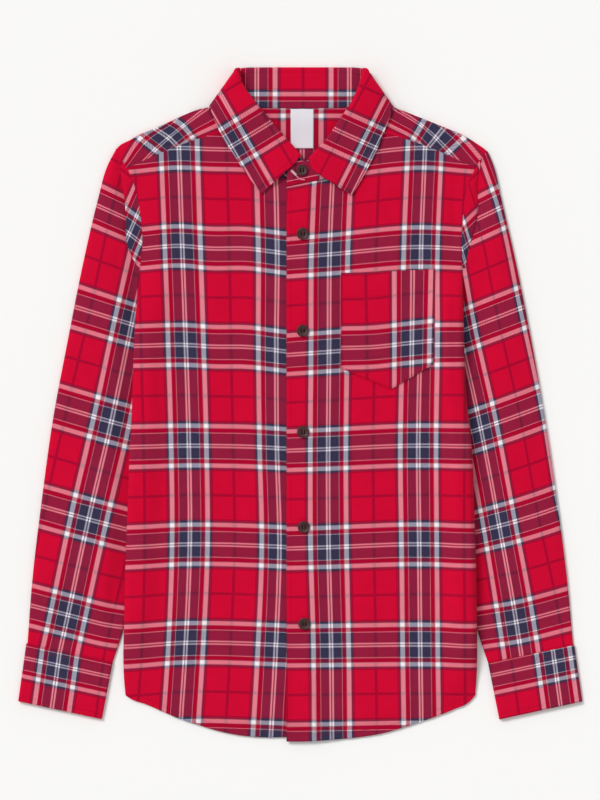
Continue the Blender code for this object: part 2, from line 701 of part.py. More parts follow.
def make_sleeve(name, side, inner, outer, cuff):
    """A sleeve: from the armhole ring to the cuff seam, pressed flat."""
    across_cuff = unit(np.subtract(cuff.outer_seam, cuff.inner_seam))
    up_sleeve = side * np.array([-across_cuff[1], across_cuff[0]]) * (GAP + SLACK)
    inner = [*inner, np.add(cuff.inner_seam, up_sleeve)]
    outer = [*outer, np.add(cuff.outer_seam, up_sleeve) - across_cuff * CUFF_OVERHANG]
    head = SLEEVE_HEAD_SHARES
    stations = np.concatenate((head, head[-1] + (1 - head[-1]) * even(SLEEVE_CELLS)[1:]))
    across = even(SLEEVE_CELLS_ACROSS)
    inner_line = along(inner, stations)
    outer_line = along(outer, stations)
    armhole_y = UNDERARM_Y + (outer_line[0][1] - UNDERARM_Y) * across
    armhole = side_points(armhole_y, side, -CURVED_SETBACK)
    inner_line[0] = armhole[0]
    outer_line[0] = armhole[-1]
    cuff_end = straight(inner_line[-1], outer_line[-1], across)
    plan = patch(inner_line, outer_line, armhole, cuff_end)
    return flat_tube(name, plan, FLOOR_LEVEL, sleeve_level, SINGLE, RED)


def make_cuff(name, cuff):
    """A cuff: a doubled band pressed flat."""
    across = even(CUFF_CELLS_ACROSS)
    seam = straight(cuff.inner_seam, cuff.outer_seam, across)
    edge = straight(cuff.inner_edge, cuff.outer_edge, across)
    inner = straight(cuff.inner_seam, cuff.inner_edge, even(CUFF_CELLS))
    outer = straight(cuff.outer_seam, cuff.outer_edge, even(CUFF_CELLS))
    plan = patch(inner, outer, seam, edge)

    def level(x, _y):
        return np.full(np.shape(x), CUFF_TOP)

    return flat_tube(name, plan, CUFF_FLOOR, level, DOUBLE, RED)


# ---------------------------------------------------------------- collar

CollarPoint = namedtuple("CollarPoint", "neck seam roll free turn roll_radius bulge")


def blend(first, second, share):
    """Point between two points."""
    return np.asarray(first, float) * (1 - share) + np.asarray(second, float) * share


def station_run(stations, cells):
    """Evenly spread stations on smooth curves through a table of them."""
    fields = [along([getattr(row, name) for row in stations], even(cells)) for name in Station._fields]
    return [Station(*points) for points in zip(*fields)]


def half_collar(side):
    """Stations of half a collar, from the centre back round the side to the front end."""
    stations = COLLAR_RIGHT if side < 0 else COLLAR_LEFT
    crease = stations[0]
    leaf_in = np.array([-side * LEAF_WAY.x, -LEAF_WAY.y]) * CREASE_REACH
    stand_in = np.array([-side * STAND_WAY.x, -STAND_WAY.y]) * STAND_CREASE_REACH
    near = Station(*(np.asarray(point, float) + shift for point, shift in
                     zip(crease, (stand_in, stand_in, leaf_in, leaf_in))))
    back_rows = [Station(*(Point(NECK_CENTRE + side * point.x, point.y) for point in row))
                 for row in COLLAR_BACK]
    made = []
    for row in station_run(back_rows + [near], COLLAR_BACK_CELLS)[:-1]:
        made.append(CollarPoint(*row, 0.0, ROLL_RADIUS, 0.0))
    for step in range(FOLD_STEPS + 1):
        angle = math.pi * (step / FOLD_STEPS - 0.5)
        reach = 1.0 - math.cos(angle)
        places = [np.asarray(point, float) + shift * reach for point, shift in
                  zip(crease, (stand_in, stand_in, leaf_in, leaf_in))]
        radius = ROLL_RADIUS + (CREASE_ROLL - ROLL_RADIUS) * math.cos(angle)
        bulge = CREASE_BULGE * math.cos(angle)
        made.append(CollarPoint(*places, (1 + math.sin(angle)) / 2, radius, bulge))
    for row in station_run([near] + list(stations[1:]), COLLAR_FRONT_CELLS)[1:]:
        made.append(CollarPoint(*row, 1.0, ROLL_RADIUS, 0.0))
    return made


def stand_level(x, y, side):
    """Middle of the stand's front part; its left end laps over the right one."""
    return front_level(x, y) + STAND_RISE + (STAND_LAP_LIFT * lap(x) if side > 0 else 0.0)


def stand_height(place, turn, side):
    """Middle of the stand at a place: the back level, the front level or between."""
    return STAND_FLOOR * (1 - turn) + stand_level(place[0], place[1], side) * turn


def leaf_height(place, turn):
    """Middle of the leaf at a place: under the back, over the fronts or between."""
    return LEAF_FLOOR * (1 - turn) + leaf_level(place[0], place[1]) * turn


def stand_run(side):
    """Neck edge, top seam and turn of half the stand, from the centre back to its front end."""
    run = [(point.neck, point.seam, point.turn) for point in half_collar(side)]
    last = run[-1]
    for end in STAND_END_RIGHT if side < 0 else STAND_END_LEFT:
        for share in (0.5, 1.0):
            run.append((blend(last[0], end.neck, share), blend(last[1], end.seam, share), 1.0))
        last = run[-1]
    return run


def make_collar_stand():
    """The band round the neck: on the table at the back, its ends lapped at the front."""
    columns = []
    for side in (-1, 1):
        run = stand_run(side)
        for neck, seam, turn in run[:0:-1] if side < 0 else run:
            columns.append([(side, blend(neck, seam, share), turn) for share in even(STAND_CELLS)])
    points = np.array([[(*place, float(stand_height(place, turn, side)))
                        for side, place, turn in column] for column in columns])
    return cloth("collar_stand", points, DOUBLE, RED)


def leaf_column(point, side):
    """Section of the leaf at one station, from the stand's seam over the roll to its free edge."""
    seam, roll, free = (np.asarray(place, float) for place in (point.seam, point.roll, point.free))
    seam_way = unit(seam - roll)
    free_way = unit(free - roll)
    seam_level = float(stand_height(seam, point.turn, side))
    seam_end = roll + seam_way * point.roll_radius
    free_end = roll + free_way * point.roll_radius
    free_level = float(leaf_height(free_end, point.turn))
    at_side = float(ease((abs(seam[0] - NECK_CENTRE) - LEAF_SIDE_OUT) / LEAF_SIDE_RUN))
    start = seam + unit(seam - np.asarray(point.neck, float)) * (LEAF_GAP + LEAF_SIDE_GAP * at_side)
    if point.turn == 1.0:
        start = start + np.array([-side * LEAF_SIDE_GAP * at_side, 0.0])
    section = [(*start, seam_level)]
    centre = (seam_end + free_end) / 2
    half = (free_end - seam_end) / 2
    middle_level = (seam_level + free_level) / 2
    for step in range(FOLD_STEPS + 1):
        angle = math.pi * (step / FOLD_STEPS - 0.5)
        plan = centre + (roll - centre) * math.cos(angle) + half * math.sin(angle)
        height = middle_level + (free_level - seam_level) / 2 * math.sin(angle)
        section.append((*plan, height))
    outward = np.array([side * LEAF_WAY.x, LEAF_WAY.y])
    for share in even(LEAF_CELLS)[1:]:
        plan = free_end + (free - free_end) * share
        plan = plan + outward * point.bulge * 4 * share * (1 - share)
        settle = LEAF_SETTLE * point.turn * float(ease(2 * share - 1))
        section.append((*plan, float(leaf_height(plan, point.turn)) - settle))
    return section


def make_collar_leaf():
    """The leaf: under the back, creased round each side of the neck and over the fronts."""
    right = [leaf_column(point, -1) for point in half_collar(-1)]
    left = [leaf_column(point, 1) for point in half_collar(1)]
    return cloth("collar_leaf", np.array(right[:0:-1] + left), DOUBLE, RED)


# ---------------------------------------------------------------- what lies on the panels

def make_pocket():
    """The patch pocket, on the left front's own surface."""
    top = straight(*POCKET_TOP, even(2 * POCKET_HALF_CELLS))
    base = np.concatenate((straight(POCKET_BASE[0], POCKET_BASE[1], even(POCKET_HALF_CELLS))[:-1],
                           straight(POCKET_BASE[1], POCKET_BASE[2], even(POCKET_HALF_CELLS))))
    first = straight(base[0], top[0], even(POCKET_ROWS))
    last = straight(base[-1], top[-1], even(POCKET_ROWS))
    plan = patch(base, top, first, last)

    def level(x, y):
        return over_front_level(x, y) + SINGLE + GAP + 2 * SLACK

    return cloth("pocket", lift_points(plan, level), SINGLE, RED)


def make_label():
    """The bare woven label on the inside of the yoke."""
    top = straight(*LABEL_TOP, even(LABEL_CELLS))
    base = straight(*LABEL_BASE, even(LABEL_CELLS))
    first = straight(base[0], top[0], even(LABEL_ROWS))
    last = straight(base[-1], top[-1], even(LABEL_ROWS))

    def level(x, y):
        return back_level(x, y) + SINGLE + GAP + 3 * SLACK

    return cloth("neck_label", lift_points(patch(base, top, first, last), level), SINGLE, WHITE)


def button_mesh():
    """A turned button with a raised rim, a dished middle and four holes."""
    shape = bmesh.new()
    chain = [shape.verts.new((row.radius * MM, 0.0, row.height * MM)) for row in BUTTON_PROFILE]
    edges = [shape.edges.new(pair) for pair in zip(chain, chain[1:])]
    bmesh.ops.spin(shape, geom=chain + edges, cent=(0, 0, 0), axis=(0, 0, 1), angle=math.tau,
                   steps=BUTTON_SIDES, use_duplicate=False)
    bmesh.ops.remove_doubles(shape, verts=shape.verts, dist=WELD * MM)
    bmesh.ops.recalc_face_normals(shape, faces=shape.faces)
    blank_mesh = bpy.data.meshes.new("button_blank")
    shape.to_mesh(blank_mesh)
    shape.free()
    drill = bmesh.new()
    for hole in range(BUTTON_HOLES):
        angle = math.tau * (hole + 0.5) / BUTTON_HOLES
        made = bmesh.ops.create_cone(drill, cap_ends=True, segments=BUTTON_HOLE_SIDES,
                                     radius1=BUTTON_HOLE_RADIUS * MM, radius2=BUTTON_HOLE_RADIUS * MM,
                                     depth=DRILL_LENGTH * MM)
        offset = (BUTTON_HOLE_OUT * math.cos(angle) * MM, BUTTON_HOLE_OUT * math.sin(angle) * MM, 0.0)
        bmesh.ops.translate(drill, verts=made["verts"], vec=offset)
    drill_mesh = bpy.data.meshes.new("button_drill")
    drill.to_mesh(drill_mesh)
    drill.free()
    blank = bpy.data.objects.new("button_blank", blank_mesh)
    cutter = bpy.data.objects.new("button_drill", drill_mesh)
    for item in (blank, cutter):
        bpy.context.scene.collection.objects.link(item)
    cut = blank.modifiers.new("holes", "BOOLEAN")
    cut.operation = "DIFFERENCE"
    cut.object = cutter
    bpy.context.view_layer.update()
    depsgraph = bpy.context.evaluated_depsgraph_get()
    finished = bpy.data.meshes.new_from_object(blank.evaluated_get(depsgraph))
    for item in (blank, cutter):
        bpy.data.objects.remove(item)
    finished.name = "button"
    finished.shade_smooth()
    finished.set_sharp_from_angle(angle=math.radians(SHARP_ANGLE))
    finished.materials.clear()
    finished.materials.append(material("button_brown", BROWN, BUTTON_ROUGHNESS))
    return finished


def make_buttons():
    """The collar button on the stand and the rest down the placket."""
    mesh = button_mesh()
    for number, place in enumerate(BUTTONS):
        surface = stand_level(*place, 1) if number == 0 else over_front_level(*place)
        name = f"button_{number}" if number else "button_collar"
        button = bpy.data.objects.new(name, mesh)
        button.location = (place.x * MM, place.y * MM, (float(surface) + DOUBLE / 2 + GAP) * MM)
        bpy.context.scene.collection.objects.link(button)


def main():
    """Clear the scene and build the shirt."""
    for item in list(bpy.data.objects):
        bpy.data.objects.remove(item)
    make_back()
    make_yoke()
    make_front_right()
    make_front_left()
    make_sleeve("sleeve_right", -1, INNER_RIGHT, OUTER_RIGHT, CUFF_RIGHT)
    make_sleeve("sleeve_left", 1, INNER_LEFT, OUTER_LEFT, CUFF_LEFT)
    make_cuff("cuff_right", CUFF_RIGHT)
    make_cuff("cuff_left", CUFF_LEFT)
    make_collar_stand()
    make_collar_leaf()
    make_pocket()
    make_label()
    make_buttons()


main()
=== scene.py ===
"""Looks of a long-sleeved flannel shirt, buttoned and laid flat on its back.

Tables are in millimetres and meshes in metres. +X runs to the wearer's left
sleeve, +Y to the collar and +Z up from the table. Each cut piece is a wall of
cloth on a fine grid, with the places of its check in its own UV map: one unit
of the map is one repeat of the check.
"""
import math
from collections import namedtuple

import bmesh
import bpy
import numpy as np
from mathutils import Matrix, Vector


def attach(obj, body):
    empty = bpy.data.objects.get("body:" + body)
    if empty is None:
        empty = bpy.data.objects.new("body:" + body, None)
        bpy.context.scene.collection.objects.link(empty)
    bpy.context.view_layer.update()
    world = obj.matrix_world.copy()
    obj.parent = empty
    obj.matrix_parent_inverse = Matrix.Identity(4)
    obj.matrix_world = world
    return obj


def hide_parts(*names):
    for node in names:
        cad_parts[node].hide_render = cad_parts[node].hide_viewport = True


bl_info = {
    "name": "Flannel Shirt",
    "version": (1, 0, 0),
    "blender": (4, 5, 0),
    "location": "View3D > Sidebar > Shirt",
    "description": "Dresses a flat-laid shirt in checked flannel, sewing and buttons",
    "category": "Object",
}

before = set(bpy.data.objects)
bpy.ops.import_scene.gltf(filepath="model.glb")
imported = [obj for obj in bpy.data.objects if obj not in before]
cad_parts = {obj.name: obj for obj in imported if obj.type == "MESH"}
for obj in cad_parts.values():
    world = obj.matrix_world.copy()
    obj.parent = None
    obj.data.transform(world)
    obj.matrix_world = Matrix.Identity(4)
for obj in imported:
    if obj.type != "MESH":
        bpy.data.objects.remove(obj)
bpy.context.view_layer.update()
MM = 0.001

# ---------------------------------------------------------------- sizes

# Thickness of the cloth, single and double, and the room left between layers.
SINGLE = 1.0
DOUBLE = 2.0
GAP = 0.3
SLACK = 0.05
NECK_CLOSE = 0.3

# Heights of the layers' middles over the table.
FLOOR_LEVEL = SINGLE / 2
SECOND_LEVEL = FLOOR_LEVEL + SINGLE + GAP
SLEEVE_CROWN = 4.4
CUFF_END_LEVEL = 3.1
CUFF_FLOOR = DOUBLE / 2
CUFF_TOP = CUFF_FLOOR + DOUBLE + GAP + 2 * SLACK
LEAF_FLOOR = DOUBLE / 2
STAND_FLOOR = LEAF_FLOOR + DOUBLE + GAP

# Rise of the sides over the sleeves, loft of the fronts and sleeves, and relief of the hem.
SIDE_LIFT_RIGHT = 4.2
SIDE_LIFT_LEFT = 12.4
SIDE_ROLL_RIGHT = 1.0
SIDE_ROLL_LEFT = 6.4
LOFT = 2.6
EDGE_LOFT_SHARE = 0.5
EDGE_ROUND = 6.0
SLEEVE_ARCH = 2.8
HEM_RIDGE = 0.4
HEM_RIDGE_HALF = 3.0
HEM_PUCKER = 0.28
HEM_PUCKER_PITCH = 11.0
HEM_PUCKER_REACH = 9.0
HEM_PUCKER_DRIFT = 2.2
HEM_DRIFT_REACH = 14.0
NECK_LIFT = 2.8
NECK_CENTRE = 1.5
UNDERARM_Y = 121.0
YOKE_BACK_Y = 190.0

# Runs over which a height grows: where each starts and its length.
Ramp = namedtuple("Ramp", "start length")
SIDE_LIFT_FALL = Ramp(13.0, 20.0)
SIDE_LIFT_HEM = Ramp(-274.0, 62.0)
SIDE_LIFT_BELOW_ARM = Ramp(0.0, 36.0)
BACK_NECK_UP = Ramp(236.0, 26.0)
BACK_NECK_OUT = Ramp(86.0, 22.0)
FRONT_NECK_UP = Ramp(225.0, 45.0)
FRONT_NECK_OUT = Ramp(80.0, 30.0)
LEAF_RISE_UP = Ramp(238.0, 44.0)
LOFT_IN = Ramp(0.0, 22.0)
LOFT_ABOVE_HEM = Ramp(0.0, 24.0)
LOFT_ABOVE_ARM = Ramp(0.0, 29.0)
FOLDS_IN = Ramp(1.0, 9.0)
HEM_IN = Ramp(2.0, 14.0)
FOLDS_ABOVE_HEM = Ramp(0.0, 40.0)
FOLD_END_SHARE = 0.25
LAP_RIGHT = Ramp(-32.0, 18.0)
LAP_LEFT = Ramp(18.0, 27.0)
SLEEVE_CROWN_OUT_RIGHT = Ramp(1.0, 16.0)
SLEEVE_CROWN_OUT_LEFT = Ramp(7.0, 28.0)
UNDER_FOLDS_IN = Ramp(0.05, 0.12)

# Front opening, collar and hem.
PLACKET_EDGE_X = -12.4
PLACKET_WIDTH = 29.0
STRIP_STEP = 0.6
PLACKET_LIFT = 1.8
STAND_LAP_LIFT = DOUBLE + GAP
STAND_RISE = 0.6
LEAF_SETTLE = 0.8
LEAF_RISE = 4.5
UNDERLAP_X = 16.6
BACK_HEM_RISE = 2.5
HEM_STITCH = 6.0
END_CLEAR = 3.0

# Body outline from the shoulder point down the armhole and the side seam.
Edge = namedtuple("Edge", "y right left")
BODY_EDGE = (
    Edge(229.6, -169.6, 172.0),
    Edge(219.0, -162.6, 164.7),
    Edge(207.0, -155.9, 158.2),
    Edge(190.0, -150.4, 152.5),
    Edge(163.0, -145.9, 149.3),
    Edge(145.0, -144.9, 148.8),
    Edge(121.0, -147.2, 149.5),
    Edge(63.0, -151.8, 150.2),
    Edge(0.0, -154.0, 152.8),
    Edge(-37.0, -155.7, 156.7),
    Edge(-115.0, -158.9, 160.1),
    Edge(-193.0, -161.2, 162.0),
    Edge(-262.0, -161.3, 161.8),
    Edge(-271.5, -160.4, 161.2),
)

# Shirt-tail hem: distance out from the centre, then the height on each side.
Hem = namedtuple("Hem", "out right left")
HEM = (
    Hem(-16.0, -309.6, -313.8),
    Hem(10.0, -309.9, -313.6),
    Hem(30.0, -310.4, -312.3),
    Hem(55.0, -308.6, -310.0),
    Hem(77.0, -304.1, -306.3),
    Hem(94.0, -299.0, -301.5),
    Hem(110.0, -293.8, -296.2),
    Hem(127.0, -286.6, -290.4),
    Hem(142.0, -280.1, -284.3),
    Hem(156.0, -275.2, -277.4),
    Hem(161.3, -271.5, -271.5),
)

Point = namedtuple("Point", "x y")
# Shoulder folds from the shoulder point to the neck, out from the neck centre.
SHOULDER_RIGHT = (
    Point(170.5, 230.2), Point(167.1, 234.1), Point(157.9, 238.9), Point(148.7, 244.2),
    Point(139.5, 247.9), Point(121.1, 256.0), Point(102.7, 264.3), Point(93.5, 267.4),
    Point(83.0, 269.4), Point(72.0, 272.0), Point(64.6, 275.8),
)
SHOULDER_LEFT = (
    Point(170.3, 228.9), Point(167.8, 231.1), Point(164.1, 233.7), Point(154.9, 239.7),
    Point(145.7, 244.9), Point(136.5, 248.6), Point(118.1, 256.0), Point(99.7, 263.3),
    Point(83.1, 269.4), Point(72.0, 272.0), Point(64.6, 275.8),
)
# Front yoke seam from the armhole to the neck, out from the neck centre.
YOKE_SEAM = (
    Point(160.0, 213.4), Point(144.0, 220.5), Point(128.0, 227.8), Point(110.0, 234.8),
    Point(92.0, 241.0), Point(76.0, 246.0), Point(58.2, 251.6),
)

# Sleeve silhouettes from the armhole down to the last point above the cuff seam.
OUTER_RIGHT = (
    Point(-169.8, 229.4), Point(-176.6, 216.2), Point(-185.8, 184.0), Point(-198.7, 128.8),
    Point(-213.4, 55.2), Point(-227.2, -18.4), Point(-237.4, -92.0), Point(-246.1, -165.6),
)
INNER_RIGHT = (
    Point(-147.6, 121.0), Point(-150.2, 92.0), Point(-148.0, 62.0), Point(-143.6, 20.0),
    Point(-144.4, -36.8), Point(-149.0, -110.4), Point(-156.4, -179.4), Point(-162.6, -211.0),
)
OUTER_LEFT = (
    Point(172.2, 229.4), Point(177.6, 216.2), Point(185.2, 184.0), Point(197.8, 128.8),
    Point(212.5, 55.2), Point(225.4, -18.4), Point(236.2, -92.0), Point(245.6, -165.6),
)
INNER_LEFT = (
    Point(149.9, 121.0), Point(150.4, 92.0), Point(147.2, 62.0), Point(142.2, 20.0),
    Point(144.9, -36.8), Point(150.4, -110.4), Point(157.2, -179.4), Point(163.0, -211.0),
)

# Cuff corners: the seam with the sleeve, then the edge at the hand.
Cuff = namedtuple("Cuff", "inner_seam outer_seam inner_edge outer_edge")
CUFF_RIGHT = Cuff(Point(-172.1, -240.9), Point(-251.6, -223.6),
                  Point(-182.2, -293.3), Point(-259.1, -276.8))
CUFF_LEFT = Cuff(Point(172.9, -241.7), Point(252.2, -225.2),
                 Point(183.2, -293.6), Point(259.6, -277.0))
CUFF_OVERHANG = 1.0

# Collar stations from the centre back round to the front. The neck edge and
# the seam bound the stand, the roll is the fold line and free is the leaf's edge.
Station = namedtuple("Station", "neck seam roll free")
COLLAR_BACK = (
    Station(Point(0.0, 268.0), Point(0.0, 300.6), Point(0.0, 304.9), Point(0.0, 259.5)),
    Station(Point(27.0, 268.4), Point(25.0, 300.6), Point(26.0, 304.9), Point(33.0, 260.2)),
    Station(Point(41.0, 269.4), Point(40.0, 300.4), Point(41.0, 304.8), Point(50.0, 261.8)),
    Station(Point(51.0, 270.9), Point(49.0, 299.9), Point(49.5, 304.7), Point(66.0, 263.6)),
)
COLLAR_RIGHT = (
    Station(Point(-63.5, 276.0), Point(-55.6, 298.0), Point(-58.2, 303.6), Point(-83.0, 269.2)),
    Station(Point(-63.0, 270.6), Point(-55.2, 289.3), Point(-56.2, 298.0), Point(-81.2, 264.2)),
    Station(Point(-61.0, 264.0), Point(-53.6, 281.8), Point(-51.8, 287.4), Point(-78.4, 257.2)),
    Station(Point(-56.6, 253.0), Point(-45.8, 270.9), Point(-43.4, 275.4), Point(-71.3, 241.5)),
    Station(Point(-47.5, 236.5), Point(-34.0, 255.6), Point(-30.9, 260.0), Point(-60.5, 225.0)),
    Station(Point(-34.5, 217.8), Point(-18.2, 238.4), Point(-15.2, 242.0), Point(-48.3, 206.2)),
    Station(Point(-18.4, 206.6), Point(-1.4, 222.2), Point(0.3, 224.6), Point(-35.3, 189.4)),
)
COLLAR_LEFT = (
    Station(Point(66.5, 276.0), Point(58.4, 297.6), Point(60.8, 303.4), Point(85.2, 269.0)),
    Station(Point(66.0, 270.6), Point(57.9, 288.9), Point(57.2, 297.4), Point(83.8, 264.2)),
    Station(Point(64.0, 264.0), Point(55.8, 281.2), Point(53.9, 286.6), Point(81.4, 257.2)),
    Station(Point(59.8, 253.0), Point(50.9, 269.8), Point(48.2, 273.8), Point(75.4, 242.0)),
    Station(Point(51.0, 236.5), Point(41.0, 254.6), Point(37.8, 258.2), Point(68.2, 225.0)),
    Station(Point(38.5, 217.8), Point(27.6, 236.4), Point(25.0, 239.6), Point(58.8, 206.6)),
    Station(Point(22.1, 202.8), Point(9.8, 219.4), Point(8.8, 221.6), Point(48.0, 188.0)),
)
StandEnd = namedtuple("StandEnd", "neck seam")
STAND_END_RIGHT = (
    StandEnd(Point(-4.0, 202.9), Point(4.0, 220.6)),
    StandEnd(Point(15.0, 205.2), Point(13.6, 219.0)),
)
STAND_END_LEFT = (
    StandEnd(Point(6.0, 200.1), Point(2.0, 219.6)),
    StandEnd(Point(-12.4, 196.1), Point(-11.4, 218.6)),
)
# How far each leaf's front end swells past a straight line, from the roll to the free edge.
LeafEnd = namedtuple("LeafEnd", "share right left")
LEAF_ENDS = (
    LeafEnd(0.0, 0.2, 0.8), LeafEnd(0.08, 1.1, 4.6), LeafEnd(0.16, 1.7, 5.7), LeafEnd(0.26, 1.5, 5.6),
    LeafEnd(0.42, 1.0, 4.7), LeafEnd(0.55, 0.8, 3.6), LeafEnd(0.70, 0.4, 2.7), LeafEnd(0.87, 0.1, 1.5),
    LeafEnd(1.0, 0.0, 0.0),
)
LEAF_END_RUN = 12
# The crease at each side of the neck: how far and which way each line turns round it.
CREASE_REACH = 2.5
STAND_CREASE_REACH = 1.2
LEAF_WAY = Point(0.78, 0.62)
ROLL_WAY = Point(1.0, -0.1)
STAND_WAY = Point(0.9, 0.43)
ROLL_RADIUS = (STAND_FLOOR - LEAF_FLOOR) / 2
CREASE_ROLL = 3.3
# Room between the leaf's inner edge and the stand's seam, and more of it at the sides.
LEAF_GAP = 0.05
LEAF_SIDE_GAP = 0.2
LEAF_SIDE_OUT = 46.0
LEAF_SIDE_RUN = 6.0

POCKET_TOP = (Point(37.4, 116.6), Point(124.0, 120.1))
POCKET_BASE = (Point(37.7, 28.9), Point(83.9, 10.1), Point(121.9, 32.2))
LABEL_TOP = (Point(-8.5, 267.2), Point(12.4, 267.2))
LABEL_BASE = (Point(-8.4, 231.4), Point(12.3, 231.4))
# Buttons from the collar down, with each one's size against the placket's.
Button = namedtuple("Button", "x y size")
BUTTONS = (
    Button(1.8, 210.8, 0.82), Button(2.5, 152.6, 0.88), Button(2.5, 63.6, 0.88),
    Button(2.9, -29.2, 0.88), Button(3.5, -116.6, 0.88), Button(4.0, -205.4, 0.88),
)

# ---------------------------------------------------------------- folds

# Soft folds: two ends, half width and height, which is negative in a trough.
Fold = namedtuple("Fold", "x0 y0 x1 y1 half height")
FRONT_FOLDS = (
    Fold(-122.0, 205.0, -132.0, -40.0, 17.0, 0.9),
    Fold(-78.0, 170.0, -92.0, -250.0, 19.0, 0.8),
    Fold(-40.0, 190.0, -46.0, -190.0, 14.0, 0.7),
    Fold(55.0, 195.0, 60.0, -270.0, 16.0, 0.8),
    Fold(100.0, 190.0, 96.0, -120.0, 18.0, 0.7),
    Fold(131.0, 150.0, 136.0, -150.0, 14.0, 0.9),
    Fold(-22.0, 206.0, -13.5, 168.0, 3.6, -1.1),
    Fold(-29.0, 200.0, -20.0, 160.0, 5.0, 0.8),
    Fold(-121.0, 185.0, -119.0, 40.0, 4.5, -0.8),
    Fold(-103.5, 70.0, -102.0, -25.0, 5.0, -0.7),
    Fold(-136.0, 118.0, -128.0, -20.0, 7.0, -0.8),
    Fold(-60.0, 40.0, -57.0, -120.0, 8.0, -0.5),
    Fold(141.5, 222.0, 142.5, 128.0, 3.6, -1.0),
    Fold(128.0, 205.0, 131.0, 150.0, 6.0, 0.6),
    Fold(142.0, 110.0, 139.0, -10.0, 6.0, -0.9),
    Fold(86.0, -10.0, 90.0, -150.0, 7.0, -0.6),
    Fold(18.5, 120.0, 19.0, 60.0, 3.0, -0.5),
    Fold(30.0, 170.0, 34.0, 90.0, 6.0, -0.5),
    Fold(-138.0, -190.0, -146.0, -262.0, 7.0, -0.8),
    Fold(134.0, -195.0, 144.0, -262.0, 8.0, -0.9),
    Fold(-92.0, -225.0, -104.0, -286.0, 6.0, -0.6),
    Fold(70.0, -230.0, 76.0, -294.0, 7.0, -0.6),
)
BACK_FOLDS = (
    Fold(-104.0, 160.0, -96.0, -60.0, 9.0, 0.9), Fold(-52.0, 60.0, -60.0, -230.0, 11.0, 0.8),
    Fold(12.0, 170.0, 6.0, -20.0, 10.0, 0.7), Fold(64.0, 40.0, 72.0, -250.0, 12.0, 0.9),
    Fold(110.0, 170.0, 100.0, 10.0, 8.0, 0.8), Fold(30.0, -90.0, 20.0, -270.0, 9.0, 0.6),
)
SLEEVE_FOLDS = (
    Fold(-172.0, -158.0, -174.0, -212.0, 3.2, -1.2), Fold(-165.0, -150.0, -166.5, -216.0, 3.0, 0.7),
    Fold(-181.0, -130.0, -183.5, -218.0, 6.0, 0.6), Fold(-166.5, 142.0, -165.5, 96.0, 4.0, -1.0),
    Fold(-158.0, 30.0, -170.0, -70.0, 5.0, -0.7), Fold(-197.0, 40.0, -176.0, 8.0, 7.0, -0.5),
    Fold(-214.0, -40.0, -186.0, -62.0, 8.0, -0.5), Fold(-205.0, 120.0, -184.0, 84.0, 8.0, -0.5),
    Fold(153.0, 106.0, 157.0, 60.0, 3.6, -1.1), Fold(163.0, 30.0, 172.0, -80.0, 5.0, -0.8),
    Fold(176.0, -120.0, 186.0, -216.0, 5.0, 0.7), Fold(172.0, -150.0, 178.0, -212.0, 3.4, -0.9),
    Fold(200.0, 70.0, 176.0, 40.0, 8.0, -0.5), Fold(216.0, -50.0, 190.0, -74.0, 8.0, -0.5),
    Fold(196.0, 140.0, 178.0, 108.0, 7.0, -0.5),
)
SLEEVE_UNDER_FOLDS = (
    Fold(-172.0, 110.0, -192.0, -60.0, 9.0, 0.7), Fold(-206.0, -40.0, -222.0, -180.0, 8.0, 0.6),
    Fold(176.0, 100.0, 194.0, -70.0, 8.0, 0.7), Fold(206.0, -60.0, 220.0, -190.0, 9.0, 0.6),
)
# The tuck at each sleeve head: its distance out of the armhole down the seam.
Tuck = namedtuple("Tuck", "y right left")
TUCKS = (
    Tuck(121.0, 1.2, 2.6), Tuck(129.0, 6.6, 3.9), Tuck(141.0, 13.2, 6.8), Tuck(148.0, 15.0, 8.9),
    Tuck(160.0, 13.9, 12.0), Tuck(173.0, 13.0, 13.5), Tuck(185.0, 12.0, 12.0), Tuck(195.0, 11.0, 9.0),
    Tuck(207.0, 8.5, 5.6), Tuck(222.0, 2.0, 1.0),
)
TUCK_BULGE = 0.5
TUCK_OVER = 0.12
TUCK_RISE = 7.0
TUCK_TOP_Y = 224.0
TUCK_BELOW_TOP = Ramp(0.0, 34.0)
TUCK_ROWS = 50
TUCK_CELLS = 14
SLEEVE_CUFF_FALL = Ramp(-215.0, 60.0)

# ---------------------------------------------------------------- check

# Bands of the check from a block's middle out to the next block: width and yarn.
# Wine is red yarn of a deeper shade.
Band = namedtuple("Band", "width yarn")
ACROSS_BANDS = (
    Band(0.40, "navy"), Band(1.60, "white"), Band(7.95, "navy"), Band(0.48, "white"),
    Band(4.07, "wine"), Band(4.30, "white"), Band(1.90, "navy"), Band(1.20, "wine"),
    Band(19.19, "red"), Band(1.35, "wine"),
)
DOWN_BANDS = (
    Band(0.42, "navy"), Band(1.53, "white"), Band(9.50, "navy"), Band(0.70, "white"),
    Band(4.07, "wine"), Band(3.98, "white"), Band(1.90, "navy"), Band(1.20, "wine"),
    Band(21.12, "red"), Band(1.35, "wine"),
)
REPEAT_ACROSS = 2 * sum(band.width for band in ACROSS_BANDS)
REPEAT_DOWN = 2 * sum(band.width for band in DOWN_BANDS)

